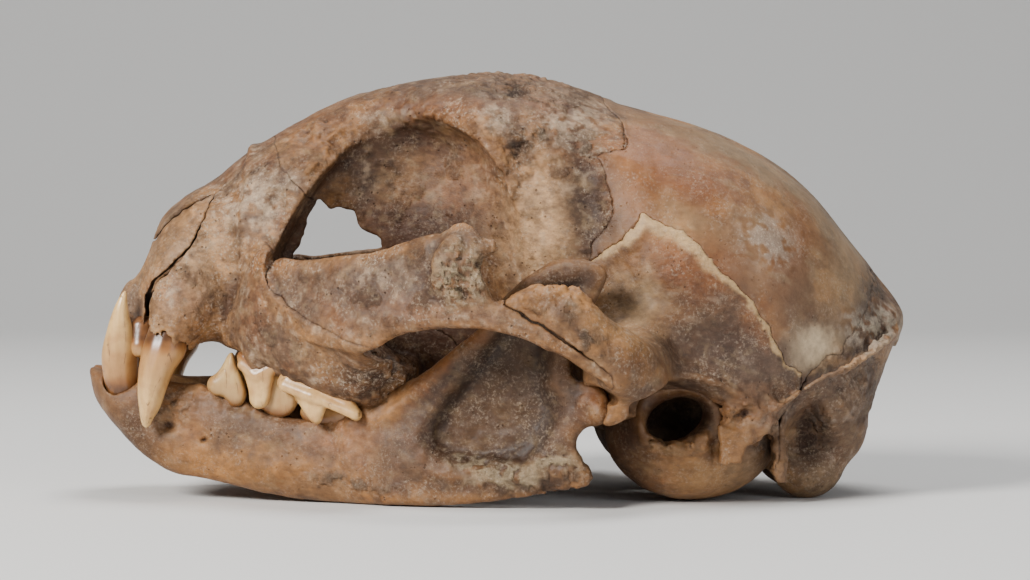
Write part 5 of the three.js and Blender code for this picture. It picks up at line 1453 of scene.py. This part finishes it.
def widened(field):
    # the right side's wall is broken a little further forward
    spans, point = skull.window(widerBreach[0], widerBreach[1], 1)
    made = field.copy()
    made[spans] = np.maximum(made[spans], -widerBreach[2](*point))
    return made


extras = {"temporal_bone": creamBand, "occipital_bone": paleRidge, "lower_jaw": fossaShade}
for name, field in pieces.items():
    if name in ("occipital_bone", "sphenoid_bone"):
        points, quads = surfaceOf(*mirroredField(field, skull.axes))
        bonePiece(name, name, points, quads, skull, softSkull, colourWashes, 100, extras.get(name))
        print(name, len(quads))
        continue
    points, quads = surfaceOf(field, skull.axes)
    rightSide = points, quads
    if name in ("maxilla", "frontal_bone"):
        rightSide = surfaceOf(widened(field), skull.axes)
    mirrored, turned = flipped(*rightSide)
    marks = {"temporal_bone": colourWashes + archStainsAndShade, "cheekbone": cheekStains}.get(name, colourWashes)
    bonePiece(name + "_left_bone", name + "_left", points, quads, skull, softSkull, marks, 100,
              extras.get(name))
    bonePiece(name + "_right_bone", name + "_right", mirrored, turned, skull, softSkull, marks, 140,
              extras.get(name))
    print(name, len(quads))

others = {"lower_jaw": (jaw, softJaw, jawStainsAndShade), "ear_bulla": (bulla, softBulla, colourWashes + bullaStainsAndShade)}
for name, (clay, soft, marks) in others.items():
    points, quads = surfaceOf(clay.field, clay.axes)
    bonePiece(name + "_left_bone", name + "_left", points, quads, clay, soft, marks, 100,
              extras.get(name))
    bonePiece(name + "_right_bone", name + "_right", *flipped(points, quads), clay, soft, marks, 140,
              extras.get(name))
    print(name, len(quads))


# The teeth

def toothTone(points, gumLine, downwards, depth, strength):
    # enamel past the gum line, warmer towards it over this depth, and the root behind it
    px, py, pz = points.T
    past = (gumLine - pz if downwards else pz - gumLine) + 0.35 * layered(px, py, pz, 1.4, 120)
    colour = mix(np.repeat(tones["enamel"][None], len(points), 0), tones["root"],
                 strength * step(depth, 0.3, past))
    colour = mix(colour, tones["root"] * 0.8, step(0.7, -0.5, past))
    return mix(colour, tones["umber"], 0.8 * step(-0.2, -1.4, past))


def toothPiece(name, node, points, quads, gumLine, downwards, caps=()):
    # one tooth or row of teeth: its colours and mesh, and the solid that it stands for
    warmth = (8.4, 0.7) if "canine" in name else (4.2, 0.5)
    colour = toothTone(points, gumLine, downwards, *warmth)
    # darker and greyer than the others: partly painted shade under the upper teeth, partly a greyer tone
    if name.startswith("lower_cheek"):
        colour = colour * [0.8, 0.84, 0.88]   # greyer than the others
    item = makeObject(name, points, quads, colour, enamel, caps=caps)
    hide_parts(node)


toothRows = {
    "upper_cheek_teeth": (upperCheekTeeth, "maxilla",
                          smooth((-30.5, 16.6), (-28.3, 15.6), (-26.3, 16.2), (-25, 15.2), (-21, 14.2),
                                 (-17, 12.8)), True),
    "upper_front_teeth": (upperFrontTeeth, "incisive_bone", smooth((-44.6, 19.6), (-43.8, 18)), True),
    "lower_cheek_teeth": (lowerCheekTeeth, "lower_jaw",
                          smooth((-34, 12.6), (-31, 11.6), (-28, 11.2), (-24, 10.6), (-18, 9.8)), False),
    "lower_front_teeth": (lowerFrontTeeth, "lower_jaw", lambda px: 15.2 + 0 * px, False)}
for name, (clay, node, gum, downwards) in toothRows.items():
    points, quads = surfaceOf(clay.field, clay.axes)
    gumLine = gum(points[:, 0])
    toothPiece(name + "_left", node + "_left", points, quads, gumLine, downwards)
    toothPiece(name + "_right", node + "_right", *flipped(points, quads), gumLine, downwards)

canines = {"upper_canine": (upperCanineForm, 17.6, True), "lower_canine": (lowerCanineForm, 14.0, False)}
for name, (form, gumLine, downwards) in canines.items():
    points, quads, caps = canineGrid(form)
    toothPiece(name + "_left_tooth", name + "_left", points, quads, gumLine, downwards, caps)
    mirrored, turned = flipped(points, quads)
    toothPiece(name + "_right_tooth", name + "_right", mirrored, turned, gumLine, downwards,
               [c[::-1] for c in caps])
print("teeth")

# Floor, light and camera


def sweep():
    # floor that curves up into a wall behind the skull: z = height of the bend at each distance
    run = np.concatenate([np.linspace(-1.6, 0.5, 12), 0.5 + 0.5 * np.sin(np.linspace(0.1, 1.57, 20)),
                          [1.0]])
    rise = np.concatenate([np.zeros(12), 0.5 - 0.5 * np.cos(np.linspace(0.1, 1.57, 20)), [2.4]])
    across = np.linspace(-2.4, 2.4, 5)
    gx, gy = np.meshgrid(across, run)
    gz = np.broadcast_to(rise[:, None], gx.shape)
    rows, columns = gx.shape
    r, c = np.meshgrid(np.arange(rows - 1), np.arange(columns - 1), indexing="ij")
    quads = np.stack([r * columns + c, r * columns + c + 1, (r + 1) * columns + c + 1,
                      (r + 1) * columns + c], 2)
    mesh = bpy.data.meshes.new("floor")
    mesh.from_pydata(np.stack([gx, gy, gz - 0.0001], 2).reshape(-1, 3).tolist(), [],
                     quads.reshape(-1, 4).tolist())
    mesh.shade_smooth()
    sheet = Sheet("pale_floor")
    shader = sheet.node("ShaderNodeBsdfPrincipled", Base_Color=(0.72, 0.71, 0.69), Roughness=0.85)
    sheet.node("ShaderNodeOutputMaterial", Surface=shader.outputs[0])
    mesh.materials.append(sheet.material)
    ground = bpy.data.objects.new("floor", mesh)
    bpy.context.collection.objects.link(ground)


def softLight(name, place, size, power, tint):
    # round area light aimed at the skull
    light = bpy.data.lights.new(name, "AREA")
    light.shape, light.size, light.energy, light.color = "DISK", size, power, tint
    lamp = bpy.data.objects.new(name, light)
    lamp.location = place
    lamp.rotation_mode = "QUATERNION"
    lamp.rotation_quaternion = (Vector((0, 0, 0.025)) - Vector(place)).to_track_quat("-Z", "Y")
    bpy.context.collection.objects.link(lamp)


# each light's place, breadth, power and tint, in metres and watts
lamps = {
    "key_light": ((-0.46, -0.46, 0.4), 0.26, 9.2, (1, 0.98, 0.95)),
    "top_light": ((0.1, 0.1, 0.7), 0.35, 3.4, (1, 1, 1)),
    "fill_light": ((0.5, -0.7, 0.3), 0.6, 2.2, (0.88, 0.94, 1))}

sweep()
for name, settings in lamps.items():
    softLight(name, *settings)
world = bpy.data.worlds.new("studio")
world.use_nodes = True
world.node_tree.nodes["Background"].inputs[0].default_value = (0.9, 0.93, 1, 1)
world.node_tree.nodes["Background"].inputs[1].default_value = 0.2
bpy.context.scene.world = world

# seen from the left; lens in mm, distance in metres, turn and lift in degrees
seenFrom = {"sensor": 36, "lens": 110.9, "target": (0.00206, 0, 0.02434), "distance": 0.384,
            "turn": -1.46, "lift": 1.49}
view = bpy.data.cameras.new("camera")
view.sensor_width = seenFrom["sensor"]
view.lens = seenFrom["lens"]
view.clip_start, view.clip_end = 0.01, 20
turn, lift = math.radians(seenFrom["turn"]), math.radians(seenFrom["lift"])
away = Vector((math.sin(turn) * math.cos(lift), -math.cos(turn) * math.cos(lift), math.sin(lift)))
camera = bpy.data.objects.new("camera", view)
camera.location = Vector(seenFrom["target"]) + away * seenFrom["distance"]
camera.rotation_mode = "QUATERNION"
camera.rotation_quaternion = (-away).to_track_quat("-Z", "Y")
bpy.context.collection.objects.link(camera)
bpy.context.scene.camera = camera
